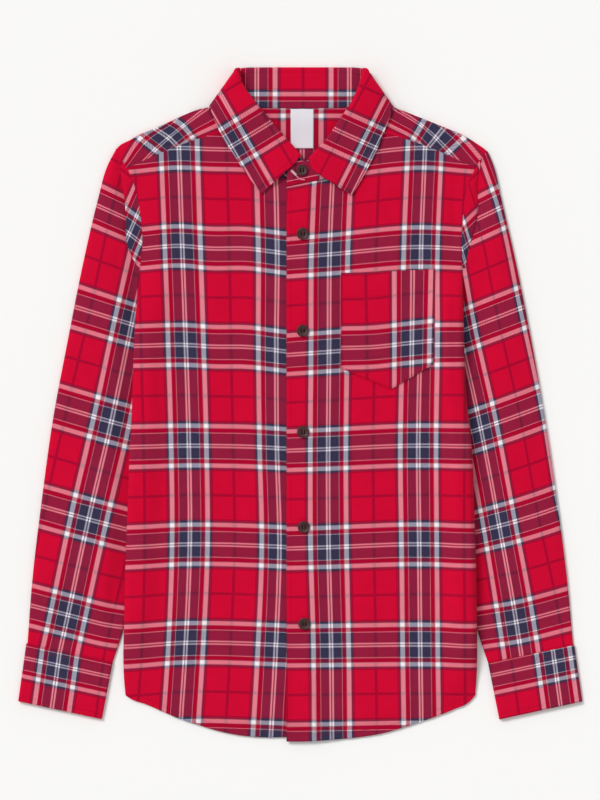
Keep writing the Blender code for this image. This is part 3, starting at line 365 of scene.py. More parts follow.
# Where the check's blocks cross on a panel: a row for each block down the cloth,
# with the place of the crossing in each of three to five columns.
Blocks = namedtuple("Blocks", "row x0 y0 x1 y1 x2 y2 x3 y3 x4 y4", defaults=(None,) * 4)
RIGHT_FRONT_COLUMNS = (-0.5, 0.0, 0.3, 0.7, 1.0)
RIGHT_FRONT_BLOCKS = (
    Blocks(-1, -152.3, 227.7, -111.3, 231.5, -85.4, 230.6, -49.8, 229.4, -23.0, 226.8),
    Blocks(0, -148.1, 138.7, -108.2, 141.5, -82.6, 139.2, -47.3, 139.0, -21.0, 135.7),
    Blocks(1, -145.8, 49.8, -104.9, 50.6, -80.0, 49.1, -46.8, 48.6, -21.8, 45.6),
    Blocks(2, -143.5, -42.9, -102.1, -41.9, -77.6, -42.2, -45.4, -42.9, -21.2, -44.2),
    Blocks(3, -142.6, -134.6, -101.2, -132.5, -76.5, -132.6, -43.6, -133.6, -18.9, -134.8),
    Blocks(4, -145.0, -225.6, -104.9, -223.0, -80.3, -222.9, -47.0, -223.8, -22.1, -224.9),
    Blocks(5, -151.8, -317.4, -110.9, -313.3, -86.0, -312.8, -52.3, -313.6, -27.1, -314.6),
)
LEFT_FRONT_COLUMNS = (1.5, 2.0, 3.0, 3.5)
LEFT_FRONT_BLOCKS = (
    Blocks(-1, -11.5, 212.4, 30.6, 221.3, 114.9, 231.5, 152.7, 228.2),
    Blocks(0, -15.0, 130.4, 27.1, 133.8, 111.3, 140.5, 149.0, 138.9),
    Blocks(1, -15.2, 41.1, 26.6, 44.2, 110.2, 50.4, 150.9, 51.0),
    Blocks(2, -15.6, -46.7, 25.8, -45.1, 108.6, -41.9, 150.4, -42.3),
    Blocks(3, -15.4, -136.5, 26.2, -135.2, 109.5, -132.5, 150.2, -133.4),
    Blocks(4, -12.4, -225.8, 28.5, -225.4, 110.4, -224.7, 151.1, -225.2),
    Blocks(5, -11.8, -316.1, 29.4, -315.6, 111.8, -314.6, 152.3, -315.6),
)
RIGHT_SLEEVE_COLUMNS = (-0.5, 0.0, 0.5, 0.7)
RIGHT_SLEEVE_BLOCKS = (
    Blocks(-1, -150.9, 257.6, -117.8, 235.5, -84.6, 213.4, -71.3, 204.6),
    Blocks(0, -173.3, 172.8, -135.2, 155.5, -96.6, 138.0, -81.2, 131.0),
    Blocks(1, -192.9, 81.3, -155.0, 69.6, -116.4, 58.9, -101.0, 54.6),
    Blocks(2, -213.9, -8.0, -173.2, -20.0, -133.9, -31.3, -118.2, -35.8),
    Blocks(3, -234.3, -98.4, -194.1, -109.5, -153.9, -120.5, -137.8, -124.9),
    Blocks(4, -252.7, -187.4, -213.2, -197.5, -174.0, -207.3, -158.3, -209.4),
    Blocks(5, -272.8, -276.5, -232.9, -285.8, -193.7, -296.0, -178.0, -298.6),
)
LEFT_SLEEVE_COLUMNS = (-0.4, 0.0, 0.5, 1.0)
LEFT_SLEEVE_BLOCKS = (
    Blocks(-1, 73.6, 216.3, 99.4, 231.8, 131.6, 251.2, 162.8, 270.5),
    Blocks(0, 103.2, 138.7, 129.7, 150.9, 162.8, 166.1, 194.6, 181.7),
    Blocks(1, 118.8, 51.8, 146.7, 62.6, 181.6, 76.1, 215.3, 89.2),
    Blocks(2, 138.0, -35.8, 166.3, -26.2, 201.7, -13.6, 234.1, -1.4),
    Blocks(3, 154.8, -123.3, 183.1, -115.6, 218.5, -105.1, 249.3, -94.3),
    Blocks(4, 167.5, -209.2, 198.7, -204.0, 237.3, -194.3, 274.2, -184.0),
    Blocks(5, 180.8, -298.3, 212.1, -293.3, 251.2, -284.3, 288.9, -274.6),
)
POCKET_COLUMNS = (-0.75, -0.5, 0.0)
POCKET_BLOCKS = (
    Blocks(-1, 37.5, 136.5, 60.0, 137.0, 103.6, 142.6),
    Blocks(0, 38.4, 47.8, 61.4, 48.3, 102.7, 52.5),
    Blocks(1, 38.6, -43.6, 61.6, -43.2, 101.9, -38.6),
)
RIGHT_FLAP_COLUMNS = (-0.49, -0.2, 0.2, 0.46)
RIGHT_FLAP_BLOCKS = (
    Blocks(-0.2, -161.5, 219.0, -147.2, 240.1, -117.8, 259.0, -98.4, 279.7),
    Blocks(0.0, -150.9, 211.1, -133.4, 229.5, -107.2, 251.8, -88.3, 265.9),
    Blocks(0.2, -139.8, 203.3, -122.9, 221.3, -98.9, 241.5, -78.2, 251.2),
)
LEFT_FLAP_COLUMNS = (-0.445, -0.2, 0.2, 0.477)
LEFT_FLAP_BLOCKS = (
    Blocks(-0.2, 101.2, 276.9, 118.2, 264.5, 150.0, 240.1, 165.6, 222.2),
    Blocks(0.0, 92.0, 264.5, 111.3, 252.5, 137.1, 228.2, 152.7, 210.2),
    Blocks(0.2, 83.3, 251.8, 104.4, 240.6, 124.2, 216.2, 139.8, 197.8),
)

# A straight stretch of check: a block's middle, the way and length of a repeat
# across and the way and length of one down the cloth. Ways are in degrees.
Straight = namedtuple("Straight", "x y across_way across down_way down")
BACK_CHECK = Straight(2.0, 279.4, 0.0, 88.0, -90.0, 91.5)
RIGHT_TUCK_CHECK = Straight(-156.9, 152.7, -37.7, 66.0, -112.6, 87.5)
LEFT_TUCK_CHECK = Straight(148.6, 138.0, 45.0, 52.5, -74.0, 91.0)
RIGHT_LEAF_CHECK = Straight(-63.4, 232.6, 31.0, 80.5, -60.0, 91.5)
LEFT_LEAF_CHECK = Straight(69.9, 231.4, 156.0, 70.0, -117.0, 91.5)
BACK_LEAF_CHECK = Straight(-39.7, 262.8, 0.0, 85.0, -90.0, 91.5)
STAND_CHECK = Straight(-39.7, 262.8, 0.0, 85.0, -90.0, 91.5)
RIGHT_STAND_CHECK = Straight(-12.0, 222.0, -45.0, 85.0, -135.0, 91.5)
LEFT_STAND_CHECK = Straight(37.6, 229.7, 11.8, 85.0, -93.0, 146.0)
RIGHT_CUFF_CHECK = Straight(-222.5, -243.8, -12.5, 82.2, -98.0, 83.8)
LEFT_CUFF_CHECK = Straight(233.8, -240.5, 12.2, 78.2, -82.0, 82.0)

Sleeve = namedtuple("Sleeve", "side inner outer cuff blocks columns tuck_check")
RIGHT_SLEEVE = Sleeve(-1, INNER_RIGHT, OUTER_RIGHT, CUFF_RIGHT, RIGHT_SLEEVE_BLOCKS,
                      RIGHT_SLEEVE_COLUMNS, RIGHT_TUCK_CHECK)
LEFT_SLEEVE = Sleeve(1, INNER_LEFT, OUTER_LEFT, CUFF_LEFT, LEFT_SLEEVE_BLOCKS,
                     LEFT_SLEEVE_COLUMNS, LEFT_TUCK_CHECK)


# ---------------------------------------------------------------- curves

def ease(t):
    """Smooth step from 0 to 1."""
    t = np.clip(t, 0.0, 1.0)
    return t * t * (3.0 - 2.0 * t)


def grown(place, ramp):
    """Share of a ramp grown at a place: 0 before its start and 1 past its end."""
    return ease((place - ramp.start) / ramp.length)


def even(cells):
    """Fractions from 0 to 1 at the ends of some even cells."""
    return np.linspace(0.0, 1.0, cells + 1)


def unit(vectors):
    """Vectors of length one."""
    return vectors / np.linalg.norm(vectors, axis=-1, keepdims=True)


def smooth(knots, values, at):
    """Smooth curve through values at rising knots, straight on past the ends.

    values holds one list for all places in at, or one more axis with a list for each.
    """
    knots = np.asarray(knots, float)
    values = np.asarray(values, float)
    at = np.asarray(at, float)
    values = np.broadcast_to(values, at.shape + knots.shape)
    slopes = np.gradient(values, knots, axis=-1)
    place = np.clip(np.searchsorted(knots, at) - 1, 0, len(knots) - 2)
    held = np.clip(at, knots[0], knots[-1])
    width = knots[place + 1] - knots[place]
    t = (held - knots[place]) / width

    def pick(array, index):
        """Each place's own value out of its list."""
        return np.take_along_axis(array, index[..., None], axis=-1)[..., 0]

    start = (1 + 2 * t) * (1 - t) ** 2 * pick(values, place)
    start = start + t * (1 - t) ** 2 * width * pick(slopes, place)
    end = t * t * (3 - 2 * t) * pick(values, place + 1)
    end = end + t * t * (t - 1) * width * pick(slopes, place + 1)
    beyond = pick(slopes, np.where(at < knots[0], 0, len(knots) - 1)) * (at - held)
    return start + end + beyond


def side_curve(table, key, side, at):
    """Smooth curve through one side's column of a table: side -1 is the wearer's right, 1 the left."""
    name = "right" if side < 0 else "left"
    return smooth([getattr(row, key) for row in table], [getattr(row, name) for row in table], at)


def run_lengths(points):
    """Length of a line of points up to each one of them."""
    return np.concatenate(([0.0], np.cumsum(np.linalg.norm(np.diff(points, axis=0), axis=1))))


def along(points, fractions):
    """Points at fractions of the length of a smooth curve through points."""
    points = np.asarray(points, float)
    lengths = run_lengths(points)
    at = np.asarray(fractions, float) * lengths[-1]
    return np.stack([smooth(lengths, points[:, axis], at) for axis in (0, 1)], axis=-1)


def straight(start, end, fractions):
    """Points at fractions of a straight line."""
    start = np.asarray(start, float)
    return start + np.asarray(fractions, float)[:, None] * (np.asarray(end, float) - start)


def patch(bottom, top, first, last, share=None, spread=None):
    """Fill a four-sided outline with a grid: rows from bottom to top, columns first to last.

    share gives each row's part of the way up, and spread each column's part of the way across.
    Without them the rows and the columns are evenly spread.
    """
    u = (even(len(bottom) - 1) if spread is None else spread)[None, :, None]
    v = (even(len(first) - 1) if share is None else share)[:, None, None]
    across = (1 - v) * bottom[None] + v * top[None]
    upward = (1 - u) * first[:, None] + u * last[:, None]
    corners = (1 - v) * ((1 - u) * bottom[0] + u * bottom[-1]) + v * ((1 - u) * top[0] + u * top[-1])
    return across + upward - corners


def filled(base, top, rows):
    """Fill between two lines of points, with straight sides and some rows of cells."""
    return patch(base, top, straight(base[0], top[0], even(rows)), straight(base[-1], top[-1], even(rows)))


def moved(line, distance, turn):
    """A plan line moved sideways: turn 1 moves it to the left of its run, -1 to the right."""
    line = np.asarray(line, float)
    way = unit(np.gradient(line, axis=0))
    return line + turn * distance * np.stack((-way[:, 1], way[:, 0]), axis=-1)


def blend(first, second, share):
    """Point between two points."""
    return np.asarray(first, float) * (1 - share) + np.asarray(second, float) * share


# ---------------------------------------------------------------- check places

def block_place(blocks, columns, across, down):
    """Place on the cloth of a place in the check, on a panel with a table of blocks."""
    rows = [row.row for row in blocks]
    spots = []
    for axis in ("x", "y"):
        held = [smooth(rows, [getattr(row, axis + str(column)) for row in blocks], down)
                for column in range(len(columns))]
        spots.append(smooth(columns, np.stack(held, axis=-1), across))
    return spots[0], spots[1]


CHECK_ROUNDS = 9
CHECK_STEP = 0.01


def table_check(blocks, columns):
    """Reader of check places from a table of blocks, by closing in on each point."""
    def read(x, y):
        across = np.full(np.shape(x), columns[1])
        down = np.full(np.shape(x), blocks[len(blocks) // 2].row, float)
        for _round in range(CHECK_ROUNDS):
            here_x, here_y = block_place(blocks, columns, across, down)
            right_x, right_y = block_place(blocks, columns, across + CHECK_STEP, down)
            below_x, below_y = block_place(blocks, columns, across, down + CHECK_STEP)
            a, b = (right_x - here_x) / CHECK_STEP, (below_x - here_x) / CHECK_STEP
            c, d = (right_y - here_y) / CHECK_STEP, (below_y - here_y) / CHECK_STEP
            off_x, off_y = x - here_x, y - here_y
            size = a * d - b * c
            across = across + np.clip((d * off_x - b * off_y) / size, -1, 1)
            down = down + np.clip((a * off_y - c * off_x) / size, -1, 1)
        return np.stack((across, down), axis=-1)

    return read


def straight_check(check):
    """Reader of check places on a straight stretch of cloth."""
    across_way = math.radians(check.across_way)
    down_way = math.radians(check.down_way)
    basis = np.array(((math.cos(across_way) * check.across, math.cos(down_way) * check.down),
                      (math.sin(across_way) * check.across, math.sin(down_way) * check.down)))
    inverse = np.linalg.inv(basis)

    def read(x, y):
        off = np.stack((x - check.x, y - check.y), axis=-1)
        return off @ inverse.T

    return read


# ---------------------------------------------------------------- heights

def edge_x(y, side):
    """The body's outline x at height y: side -1 is the wearer's right, 1 the left."""
    rows = BODY_EDGE[::-1]
    return side_curve(rows, "y", side, np.clip(y, rows[0].y, rows[-1].y))


def hem_y(x, side):
    """Height of the front hem at x."""
    return side_curve(HEM, "out", side, np.clip(np.asarray(x) * side, HEM[0].out, HEM[-1].out))


def inside(x, y):
    """Distance in from the nearer side of the body, negative out over the sleeve."""
    return np.minimum(x - edge_x(y, -1), edge_x(y, 1) - x)


def rounded(depth):
    """Rise of a rounded edge from 0 at the edge to 1 further in."""
    return np.sqrt(1.0 - (1.0 - np.clip(depth / EDGE_ROUND, 0.0, 1.0)) ** 2)


def side_lift(x, y):
    """Rise of the body where it lies on the sleeves' inner edges."""
    span = grown(UNDERARM_Y - y, SIDE_LIFT_BELOW_ARM) * grown(y, SIDE_LIFT_HEM)
    depth = inside(x, y)
    lift = np.where(x < NECK_CENTRE, SIDE_LIFT_RIGHT, SIDE_LIFT_LEFT)
    roll = np.where(x < NECK_CENTRE, SIDE_ROLL_RIGHT, SIDE_ROLL_LEFT)
    return span * (lift * (1.0 - grown(depth, SIDE_LIFT_FALL)) - roll * (1.0 - rounded(depth)))


def back_level(x, y):
    """Middle of the back and of the yoke's under layer."""
    out = np.abs(x - NECK_CENTRE)
    neck = NECK_LIFT * grown(y, BACK_NECK_UP) * (1.0 - grown(out, BACK_NECK_OUT))
    folds = fold_height(x, y, BACK_FOLDS) * grown(inside(x, y), FOLDS_IN)
    return FLOOR_LEVEL + side_lift(x, y) + neck + folds


def seam_loft(y):
    """Loft at the armhole seam, none at the underarm."""
    return grown(y - UNDERARM_Y, LOFT_ABOVE_ARM)


def fold_height(x, y, folds):
    """Height of the soft ridges at a place."""
    total = np.zeros(np.broadcast(x, y).shape)
    for fold in folds:
        run = np.array([fold.x1 - fold.x0, fold.y1 - fold.y0])
        length = np.linalg.norm(run)
        run = run / length
        down = ((x - fold.x0) * run[0] + (y - fold.y0) * run[1]) / length
        off = (x - fold.x0) * run[1] - (y - fold.y0) * run[0]
        ends = ease(down / FOLD_END_SHARE) * ease((1.0 - down) / FOLD_END_SHARE)
        total = total + fold.height * ends * np.exp(-(off / fold.half) ** 2)
    return total


def side_loft(depth):
    """Share of the fronts' loft in from a side: a rounded edge, then a gentle rise."""
    return EDGE_LOFT_SHARE * rounded(depth) + (1.0 - EDGE_LOFT_SHARE) * grown(depth, LOFT_IN)


def hem_relief(x, above):
    """The turned hem's ridge and the puckers that its stitching draws up."""
    ridge = HEM_RIDGE * np.exp(-((above - HEM_STITCH / 2) / HEM_RIDGE_HALF) ** 2)
    drift = HEM_PUCKER_DRIFT * np.sin(x / HEM_DRIFT_REACH)
    wave = np.sin(math.tau * x / HEM_PUCKER_PITCH + drift)
    return ridge + HEM_PUCKER * wave * np.exp(-((above - HEM_STITCH) / HEM_PUCKER_REACH) ** 2)


def front_level(x, y):
    """Middle of the fronts and of the yoke's upper layer, before the placket's lap."""
    out = np.abs(x - NECK_CENTRE)
    neck = NECK_LIFT * grown(y, FRONT_NECK_UP) * (1.0 - grown(out, FRONT_NECK_OUT))
    depth = inside(x, y)
    hem = np.where(x < PLACKET_EDGE_X, hem_y(x, -1), hem_y(x, 1))
    loft = np.maximum(side_loft(depth), seam_loft(y)) * grown(y - hem, LOFT_ABOVE_HEM)
    folds = fold_height(x, y, FRONT_FOLDS) * grown(depth, FOLDS_IN) * grown(y - hem, FOLDS_ABOVE_HEM)
    relief = hem_relief(x, y - hem) * grown(depth, HEM_IN)
    return SECOND_LEVEL + side_lift(x, y) + neck + LOFT * loft + folds + relief


def lap(x):
    """Share of the placket's lift: whole on the placket, none away from it."""
    return grown(x, LAP_RIGHT) * (1.0 - grown(x, LAP_LEFT))


def over_front_level(x, y):
    """Middle of the left front, which laps over the right one."""
    return front_level(x, y) + PLACKET_LIFT * lap(x)


def pocket_level(x, y):
    """Middle of the patch pocket."""
    return over_front_level(x, y) + SINGLE + GAP + 2 * SLACK


def tuck_out(y, side):
    """Distance of the sleeve head's tuck out of the armhole."""
    return side_curve(TUCKS, "y", side, np.clip(y, TUCKS[0].y, TUCKS[-1].y))


def tuck_middle(x, y):
    """Distance of the tuck out of the armhole on the side where x lies."""
    return np.where(x < 0, tuck_out(y, -1), tuck_out(y, 1))


def tuck_span(y):
    """Share of the tuck's depth at a height, none at the underarm and at the shoulder."""
    return seam_loft(y) * grown(TUCK_TOP_Y - y, TUCK_BELOW_TOP)


def line_x(points, y):
    """Place across the shirt of a line of points at height y."""
    rising = sorted(points, key=lambda point: point.y)
    return np.interp(y, [point.y for point in rising], [point.x for point in rising])


def sleeve_share(x, y, side):
    """Place across a sleeve: 0 at its inner silhouette and 1 at its outer one."""
    sleeve = RIGHT_SLEEVE if side < 0 else LEFT_SLEEVE
    start = np.where(y > UNDERARM_Y, edge_x(y, side), line_x(sleeve.inner, y))
    return np.clip((x - start) / (line_x(sleeve.outer, y) - start), 0.0, 1.0)


def plain_sleeve_level(x, y):
    """Middle of a sleeve's upper layer without its tuck."""
    above_cuff = grown(y, SLEEVE_CUFF_FALL)
    seam = SECOND_LEVEL + LOFT * seam_loft(y)
    crown = CUFF_END_LEVEL + (SLEEVE_CROWN - CUFF_END_LEVEL) * above_cuff
    out = -inside(x, y)
    risen = np.where(x < 0, grown(out, SLEEVE_CROWN_OUT_RIGHT), grown(out, SLEEVE_CROWN_OUT_LEFT))
    share = np.where(x < 0, sleeve_share(x, y, -1), sleeve_share(x, y, 1))
    arch = SLEEVE_ARCH * 4 * share * (1.0 - share) * risen * above_cuff
    folds = fold_height(x, y, SLEEVE_FOLDS) * risen
    return np.maximum(seam + (crown - seam) * risen + arch + folds, SECOND_LEVEL)


def sleeve_floor(x, y):
    """Middle of a sleeve's under layer."""
    share = np.where(x < 0, sleeve_share(x, y, -1), sleeve_share(x, y, 1))
    folds = fold_height(x, y, SLEEVE_UNDER_FOLDS) * grown(share * (1.0 - share), UNDER_FOLDS_IN)
    return FLOOR_LEVEL + folds


def sleeve_level(x, y):
    """Middle of a sleeve's upper layer: it dips to the tuck and lies low under its fold."""
    out = -inside(x, y)
    plain = plain_sleeve_level(x, y)
    past = np.maximum(out - tuck_middle(x, y), 0.0)
    tucked = SECOND_LEVEL + (plain - SECOND_LEVEL) * (1.0 - np.exp(-past / TUCK_RISE))
    span = np.where(out > 0, tuck_span(y), 0.0)
    return plain + (tucked - plain) * span


def tuck_level(x, y):
    """Middle of the fold over the tuck: level with the armhole, then rolled down."""
    share = np.clip(-inside(x, y) / tuck_middle(x, y), 0.0, 1.0)
    plain = plain_sleeve_level(x, y)
    roll = (plain + TUCK_BULGE * np.sin(math.pi * share) - SECOND_LEVEL) * np.sqrt(1.0 - share ** 3)
    return plain + (SECOND_LEVEL + roll - plain) * tuck_span(y) + TUCK_OVER


def cuff_floor(x, _y):
    """Middle of a cuff's under layer."""
    return np.full(np.shape(x), CUFF_FLOOR)


def cuff_level(x, _y):
    """Middle of a cuff's upper layer."""
    return np.full(np.shape(x), CUFF_TOP)


def leaf_level(x, y):
    """Middle of the collar leaf where it lies on the fronts."""
    return front_level(x, y) + STAND_RISE + STAND_LAP_LIFT * (1.0 + lap(x))


def label_level(x, y):
    """Middle of the label, on the back layer of the yoke."""
    return back_level(x, y) + SINGLE + GAP + 3 * SLACK


def stand_level(x, y, side):
    """Middle of the stand's front part; its left end laps over the right one."""
    return front_level(x, y) + STAND_RISE + (STAND_LAP_LIFT * lap(x) if side > 0 else 0.0)


def lapped_stand_level(x, y):
    """Middle of the stand's left end, which laps over the right one."""
    return stand_level(x, y, 1)


def stand_height(place, turn, side):
    """Middle of the stand at a place: the back level, the front level or between."""
    return STAND_FLOOR * (1 - turn) + stand_level(place[0], place[1], side) * turn


def leaf_height(place, turn):
    """Middle of the leaf at a place: under the back, over the fronts or between."""
    return LEAF_FLOOR * (1 - turn) + leaf_level(place[0], place[1]) * turn


# ---------------------------------------------------------------- cloth walls

def lift_points(plan, level):
    """Add heights to a plan of x and y points."""
    heights = level(plan[..., 0], plan[..., 1]) if callable(level) else np.full(plan.shape[:-1], level)
    return np.concatenate((plan, heights[..., None]), axis=-1)


def cut_of(points):
    """Width, length and area in metres of the flat cut of a grid of points."""
    side = np.linalg.norm(np.diff(points, axis=1), axis=2)
    down = np.linalg.norm(np.diff(points, axis=0), axis=2)
    one = np.cross(points[1:, :-1] - points[:-1, :-1], points[:-1, 1:] - points[:-1, :-1])
    two = np.cross(points[1:, :-1] - points[1:, 1:], points[:-1, 1:] - points[1:, 1:])
    area = (np.linalg.norm(one, axis=2) + np.linalg.norm(two, axis=2)).sum() / 2
    return (side.sum(axis=1).max() * MM, down.sum(axis=0).max() * MM), area * MM * MM


RIM_ROUND = 0.3
RIM_ANGLE = 50.0
WELD_REACH = 0.0025


def mesh_of(name, shape):
    """Keep a bmesh as a mesh."""
    mesh = bpy.data.meshes.new(name)
    shape.to_mesh(mesh)
    shape.free()
    return mesh


def add_object(name, data):
    """An object in the scene with a mesh, a light or a camera."""
    made = bpy.data.objects.new(name, data)
    bpy.context.scene.collection.objects.link(made)
    return made


def grid_mesh(name, points, zones):
    """Mesh of a grid of points, with the places of its check in a UV map."""
    rows, columns = points.shape[:2]
    shape = bmesh.new()
    bmesh.ops.create_grid(shape, x_segments=columns - 1, y_segments=rows - 1, size=1.0)
    mesh = mesh_of(name, shape)
    mesh.vertices.foreach_set("co", (points * MM).ravel())
    corners = np.zeros(len(mesh.loops), np.int32)
    mesh.loops.foreach_get("vertex_index", corners)
    cells = np.arange(len(corners)) // 4
    places = np.zeros((len(corners), 2))
    for mask, read in zones:
        chosen = np.ones(len(corners), bool) if mask is None else mask.ravel()[cells]
        flat = read(points[..., 0].ravel(), points[..., 1].ravel())
        places[chosen] = flat[corners[chosen]]
    layer = mesh.uv_layers.new(name="check")
    layer.data.foreach_set("uv", places.ravel())
    return mesh


def trim(mesh, keep, closed):
    """Take the cells that aren't cloth out of a mesh, and weld the ends of a closed one."""
    shape = bmesh.new()
    shape.from_mesh(mesh)
    if keep is not None:
        shape.faces.ensure_lookup_table()
        holes = [shape.faces[int(index)] for index in np.flatnonzero(~keep.ravel())]
        bmesh.ops.delete(shape, geom=holes, context="FACES")
    if closed:
        bmesh.ops.remove_doubles(shape, verts=shape.verts, dist=WELD_REACH * MM)
    shape.to_mesh(mesh)
    shape.free()
    mesh.shade_smooth()


def thicken(piece, thickness, doubled):
    """Give a piece its wall, double at the vertices in doubled, and its rounded rims."""
    wall = piece.modifiers.new("wall", "SOLIDIFY")
    wall.thickness = thickness * MM
    wall.offset = 0.0
    wall.use_quality_normals = True
    rounding = piece.modifiers.new("rounding", "BEVEL")
    rounding.width = RIM_ROUND * MM
    rounding.segments = 2
    rounding.limit_method = "ANGLE"
    rounding.angle_limit = math.radians(RIM_ANGLE)
    if doubled:
        group = piece.vertex_groups.new(name="doubled")
        group.add(doubled, 1.0, "REPLACE")
        wall.vertex_group = "doubled"
        wall.thickness = DOUBLE * MM
        wall.thickness_vertex_group = thickness / DOUBLE


def cloth(name, node, points, zones, thickness, material, closed=False, keep=None, doubled=()):
    """A wall of cloth on a grid of middle points, rows x columns x 3 in millimetres.

    zones pairs a mask of cells, or None for all of them, with a reader of check places.
    keep masks the cells that are cloth, and doubled names columns of double thickness.
    """
    mesh = grid_mesh(name, points, zones)
    trim(mesh, keep, closed)
    mesh.materials.append(material)
    piece = add_object(name, mesh)
    rows, columns = points.shape[:2]
    thicken(piece, thickness, [row * columns + column for row in range(rows) for column in doubled])
    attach(piece, "root")
    if node:
        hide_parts(node)
    return piece


FOLD_STEPS = 8


def turned_edge(rim, low_row, high_row, low_level, high_level, thickness):
    """Rows of a fold that turns from the low layer up to the high one at a silhouette rim."""
    low_in = unit(low_row - rim)
    high_in = unit(high_row - rim)
    radius = (high_level - low_level)[:, None] / 2
    rows = []
    for step in range(FOLD_STEPS + 1):
        angle = math.pi * (step / FOLD_STEPS - 0.5)
        share = (1 + math.sin(angle)) / 2
        inward = (1 - share) * low_in + share * high_in
        plan = rim + inward * (thickness / 2 + radius * (1 - math.cos(angle)))
        height = low_level + (high_level - low_level) * share
        rows.append(np.concatenate((plan, height[:, None]), axis=-1))
    return np.stack(rows)


def flat_tube(plan, low, level, thickness):
    """Ring of rows round a pressed tube: plan rows run from its inner to its outer silhouette."""
    inner = plan[0]
    outer = plan[-1]
    low_row = low(inner[:, 0], inner[:, 1])
    outer_high = level(outer[:, 0], outer[:, 1])
    inner_high = level(inner[:, 0], inner[:, 1])
    outer_fold = turned_edge(outer, plan[-2], plan[-2], low_row, outer_high, thickness)
    inner_fold = turned_edge(inner, plan[1], plan[1], low_row, inner_high, thickness)
    under = lift_points(plan[1:-1], low)
    upper = lift_points(plan[1:-1][::-1], level)
    return np.concatenate((under, outer_fold, upper, inner_fold[::-1], under[:1]))


# ---------------------------------------------------------------- panels

def side_points(heights, side):
    """Points on the body's outline at some heights."""
    heights = np.asarray(heights, float)
    return np.stack((edge_x(heights, side), heights), axis=-1)


def away(points, distance, side):
    """Move neck points out of the neck: down at the front and outward at the side."""
    return moved(points, distance, -side)


def station_run(stations, cells):
    """Evenly spread stations on smooth curves through a table of them."""
    fields = [along([getattr(row, name) for row in stations], even(cells)) for name in Station._fields]
    return [Station(*points) for points in zip(*fields)]


# A station with its turn to the front, from 0 to 1, the roll's radius and its share of the end's swell.
CollarPoint = namedtuple("CollarPoint", "neck seam roll free turn roll_radius end")
COLLAR_BACK_CELLS = 20
COLLAR_FRONT_CELLS = 40
STAND_END_CELLS = 5


def half_collar(side):
    """Stations of half a collar, from the centre back round the side to the front end."""
    stations = COLLAR_RIGHT if side < 0 else COLLAR_LEFT
    crease = stations[0]
    leaf_in = np.array([-side * LEAF_WAY.x, -LEAF_WAY.y]) * CREASE_REACH
    stand_in = np.array([-side * STAND_WAY.x, -STAND_WAY.y]) * STAND_CREASE_REACH
    roll_in = np.array([-side * ROLL_WAY.x, -ROLL_WAY.y]) * CREASE_REACH
    shifts = (stand_in, stand_in, roll_in, leaf_in)
    near = Station(*(np.asarray(point, float) + shift for point, shift in zip(crease, shifts)))
    back_rows = [Station(*(Point(NECK_CENTRE + side * point.x, point.y) for point in row))
                 for row in COLLAR_BACK]
    made = []
    for row in station_run(back_rows + [near], COLLAR_BACK_CELLS)[:-1]:
        made.append(CollarPoint(*row, 0.0, ROLL_RADIUS, 0.0))
    for step in range(FOLD_STEPS + 1):
        angle = math.pi * (step / FOLD_STEPS - 0.5)
        reach = 1.0 - math.cos(angle)
        places = [np.asarray(point, float) + shift * reach for point, shift in zip(crease, shifts)]
        radius = ROLL_RADIUS + (CREASE_ROLL - ROLL_RADIUS) * math.cos(angle)
        made.append(CollarPoint(*places, (1 + math.sin(angle)) / 2, radius, 0.0))
    front = station_run([near, *stations[1:]], COLLAR_FRONT_CELLS)[1:]
    for left, row in zip(reversed(range(len(front))), front):
        made.append(CollarPoint(*row, 1.0, ROLL_RADIUS, float(ease(1.0 - left / LEAF_END_RUN))))
    return made


def stand_run(side):
    """Neck edge, top seam and turn of half the stand, from the centre back to its front end."""
    run = [(point.neck, point.seam, point.turn) for point in half_collar(side)]
    last = run[-1]
    for end in STAND_END_RIGHT if side < 0 else STAND_END_LEFT:
        for share in even(STAND_END_CELLS)[1:]:
            run.append((blend(last[0], end.neck, share), blend(last[1], end.seam, share), 1.0))
        last = run[-1]
    return run


def neck_run(side):
    """The stand's neck edge from its front end to the side crease."""
    run = [neck for neck, _seam, turn in stand_run(side) if turn == 1.0]
    return np.array(run[::-1])


def yoke_seam(side, cells):
    """The front yoke seam from the neck to the armhole."""
    points = [Point(NECK_CENTRE + side * row.x, row.y) for row in reversed(YOKE_SEAM)]
    return along(points, even(cells))


def share_of(values):
    """Places of some values between the first and the last of them, as fractions."""
    return (values - values[0]) / (values[-1] - values[0])


def front_top(side, start_x, neck_cells, seam_cells):
    """Top edge of a front: its neckline, then its yoke seam."""
    run = neck_run(side)
    seam = yoke_seam(side, seam_cells)
    ahead = (run[:, 0] - start_x) * side > END_CLEAR
    below = run[:, 1] < seam[0][1] - END_CLEAR
    start_y = np.interp(start_x * side, run[:, 0] * side, run[:, 1])
    neckline = np.concatenate(([(start_x, start_y)], run[ahead & below], seam[:1]))
    neckline[:-1] = away(neckline, NECK_CLOSE, side)[:-1]
    neckline[0, 0] = start_x
    neckline[-1] = neckline[-1] + np.array([side * NECK_CLOSE, 0.0])
    seam[0] = neckline[-1]
    seam[-1] = side_points(seam[-1:, 1], side)[0]
    return np.concatenate((along(neckline, even(neck_cells)), seam[1:]))


def front_plan(side, start_x, sizes):
    """Plan of a front from its centre edge to its side and armhole."""
    top = front_top(side, start_x, sizes.neck_cells, sizes.seam_cells)
    heights = np.linspace(HEM[-1].right, top[-1][1], sizes.body_rows + 1)
    column = side_points(heights, side)
    spread = share_of(top[:, 0])
    x = start_x + (column[0][0] - start_x) * spread
    bottom = np.stack((x, hem_y(x, side)), axis=-1)
    share = share_of(heights)
    return patch(bottom, top, straight(bottom[0], top[0], share), column, share, spread)


# ---------------------------------------------------------------- settings

